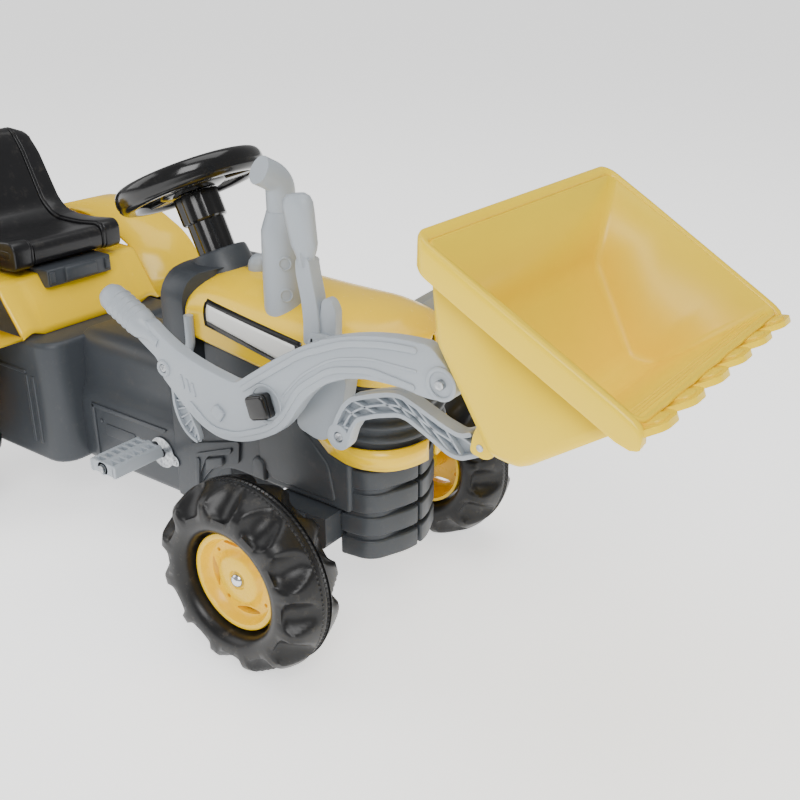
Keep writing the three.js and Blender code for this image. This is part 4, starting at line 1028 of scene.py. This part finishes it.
bm.faces.new(rows[0])
bm.faces.new(rows[-1])
finish(bm, "bucket_rim", BUCKET_YELLOW, "bucket", sharp=50)

bm = bmesh.new()
TOOTH_PITCH, TOOTH_REACH = 59.4, 19
blade = []
for k in range(6):
    y = (k - 2.5) * TOOTH_PITCH
    blade += [(0, y - 29.7, 4), (9, y - 23, 6), (TOOTH_REACH, y - 14, 7), (TOOTH_REACH, y + 14, 7), (9, y + 23, 6), (0, y + 29.7, 4)]
slab(bm, [(-20, -170)] + [(-20, 170)] + list(reversed(blade)), -5.5, 0.5, "XY", soft=1.4)
for k in range(6):
    y = (k - 2.5) * TOOTH_PITCH
    slab(bm, [(-16, y - 20, 8), (TOOTH_REACH - 5, y - 11, 6), (TOOTH_REACH - 5, y + 11, 6), (-16, y + 20, 8)], -2, 3, "XY", soft=1.6)
pitch = math.atan2(8, 20)
turn = Matrix.Rotation(-pitch, 4, "Y")
bmesh.ops.transform(bm, matrix=Matrix.Translation((439, 0, 415)) @ turn, verts=bm.verts)
floor_run = Vector((118, 0, 85)).normalized()
floor_up = Vector((-floor_run.z, 0, floor_run.x))
for k in range(4):
    foot = Vector((441, 0, 419)) - floor_run * (9 + 11 * k) + floor_up * 4.4
    half = 162 - 2 * k
    round_bar(bm, foot - Vector((0, half, 0)), foot + Vector((0, half, 0)), 2.6, soft=1, steps=12)
for side_y in (-125, 117):
    slab(bm, [(HINGE.x - 12, HINGE.z - 8, 6), (HINGE.x - 10, HINGE.z + 12, 8), (HINGE.x + 8, HINGE.z + 13, 4),
              (256, 400), (262, 376), (HINGE.x + 8, HINGE.z - 14, 6)], side_y, side_y + 8, soft=1)
for side_y in (-106, -133.5):
    slab(bm, [(EYE[0] - 12, EYE[1] - 8, 6), (EYE[0] - 8, EYE[1] + 14, 6), (272, 370), (294, 345),
              (EYE[0] + 10, EYE[1] - 12, 8)], side_y, side_y + 6, soft=1)
finish(bm, "bucket_teeth", BUCKET_YELLOW, "bucket")

bm = bmesh.new()
round_bar(bm, Vector((EYE[0], -134, EYE[1])), Vector((EYE[0], -99, EYE[1])), 4, soft=0.6)
finish(bm, "link_rivet", ZINC, "bucket", "link_pin")

# ------------------------------------------------------------------ cranks, pedals and shafts
# One steel rod bent into two cranks carries a slatted grey pedal on each end, held to the tunnel by a
# round plate with an ear. Straight rods carry the rear wheels, the loader and the bucket.
CRANK_CENTRE, CRANK_X, CRANK_Z, BEND_Y = Vector((-262, 0, 148)), 38, 40, 118
PEDAL_IN, PEDAL_OUT, PEDAL_HALF = 128.3, 202.7, 23.8


def crank_pin(side, y):
    return Vector((CRANK_CENTRE.x - side * CRANK_X, y, CRANK_CENTRE.z - side * CRANK_Z))


bm = bmesh.new()
crossing = [CRANK_CENTRE + Vector((0, -BEND_Y, 0)), CRANK_CENTRE + Vector((0, BEND_Y, 0))]
bent_bar(bm, [crank_pin(-1, -205.8), crank_pin(-1, -BEND_Y), *crossing, crank_pin(1, BEND_Y), crank_pin(1, 205.8)], 5, bend=7)
finish(bm, "crank_rod", ZINC, "crank", "crank_shaft")

for name, side in SIDES:
    bm = bmesh.new()
    centre = crank_pin(side, 0)
    x, z = centre.x, centre.z
    for offset in (-1, 1):
        slab(bm, [(x + offset * 17, z - 8.6, 2), (x + offset * PEDAL_HALF, z - 8.6, 3), (x + offset * PEDAL_HALF, z + 8.4, 3), (x + offset * 17, z + 8.4, 2)],
             side * PEDAL_IN, side * PEDAL_OUT, soft=1)
    for k in range(7):
        y = PEDAL_IN + 2.5 + k * 11.4
        thick = 4.5
        slab(bm, [(x - 20, z - 7, 2), (x + 20, z - 7, 2), (x + 20, z + 8.8, 2), (x - 20, z + 8.8, 2)],
             side * (y - 0), side * min(y + thick, PEDAL_OUT), soft=0.8)
    turned(bm, [(5.6, PEDAL_IN), (9, PEDAL_IN), (9, PEDAL_OUT), (5.6, PEDAL_OUT), (5.6, PEDAL_IN)],
           (x, 0, z), (0, side, 0), steps=36)
    finish(bm, f"slatted_pedal_{name}", LIGHT_GREY, f"pedal_{name}", f"pedal_{name}")

    bm = bmesh.new()
    turned(bm, [(6.6, 76.4), (12, 76.4), (12, 77), (22, 77), (22, 78.6), (11, 78.8), (9, 79), (6.6, 79), (6.6, 76.4)],
           CRANK_CENTRE, (0, side, 0), steps=48)
    slab(bm, [(CRANK_CENTRE.x + 14, CRANK_CENTRE.z - 14, 5), (CRANK_CENTRE.x + 31, CRANK_CENTRE.z - 14, 7),
              (CRANK_CENTRE.x + 31, CRANK_CENTRE.z - 1, 7), (CRANK_CENTRE.x + 16, CRANK_CENTRE.z + 4, 5)],
         side * 77, side * 78.4, soft=0.4)
    cross_screw(bm, Vector((CRANK_CENTRE.x + 24, side * 78.2, CRANK_CENTRE.z - 8)), Vector((0, side, 0)), 4)
    for v in bm.verts:
        v.co.y = side * max(abs(v.co.y), 76.4)
    finish(bm, f"crank_cover_{name}", ZINC, "chassis", f"crank_plate_{name}")

for piece_name, node, body, centre, half, radius in (
        ("loader_shaft", "pivot_shaft", "chassis", PIVOT, 160, 8),
        ("bucket_shaft", "bucket_hinge_shaft", "loader_arms", HINGE, 154.8, 5)):
    bm = bmesh.new()
    round_bar(bm, centre - Vector((0, half, 0)), centre + Vector((0, half, 0)), radius, soft=0.8, steps=32)
    finish(bm, piece_name, ZINC, body, node)

# ------------------------------------------------------------------ running gear kept from the drawing
# Plain parts that need no more shape: the front axle beam and its knuckles, the bushes, the mounts,
# the chain drive inside the chassis and the steering rods. Only their materials are made here.
carried = {
    GRAPHITE: ["front_axle_beam", "loader_mount_right", "loader_mount_left"],
    GLOSS_BLACK: ["knuckle_right", "knuckle_left", "axle_bush_right", "axle_bush_left"],
    ZINC: ["tie_rod", "steering_rod", "rear_axle", "drive_sprocket", "driven_sprocket", "drive_chain"],
}
for material, names in carried.items():
    for name in names:
        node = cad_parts[name]
        node.data.materials.clear()
        node.data.materials.append(material)
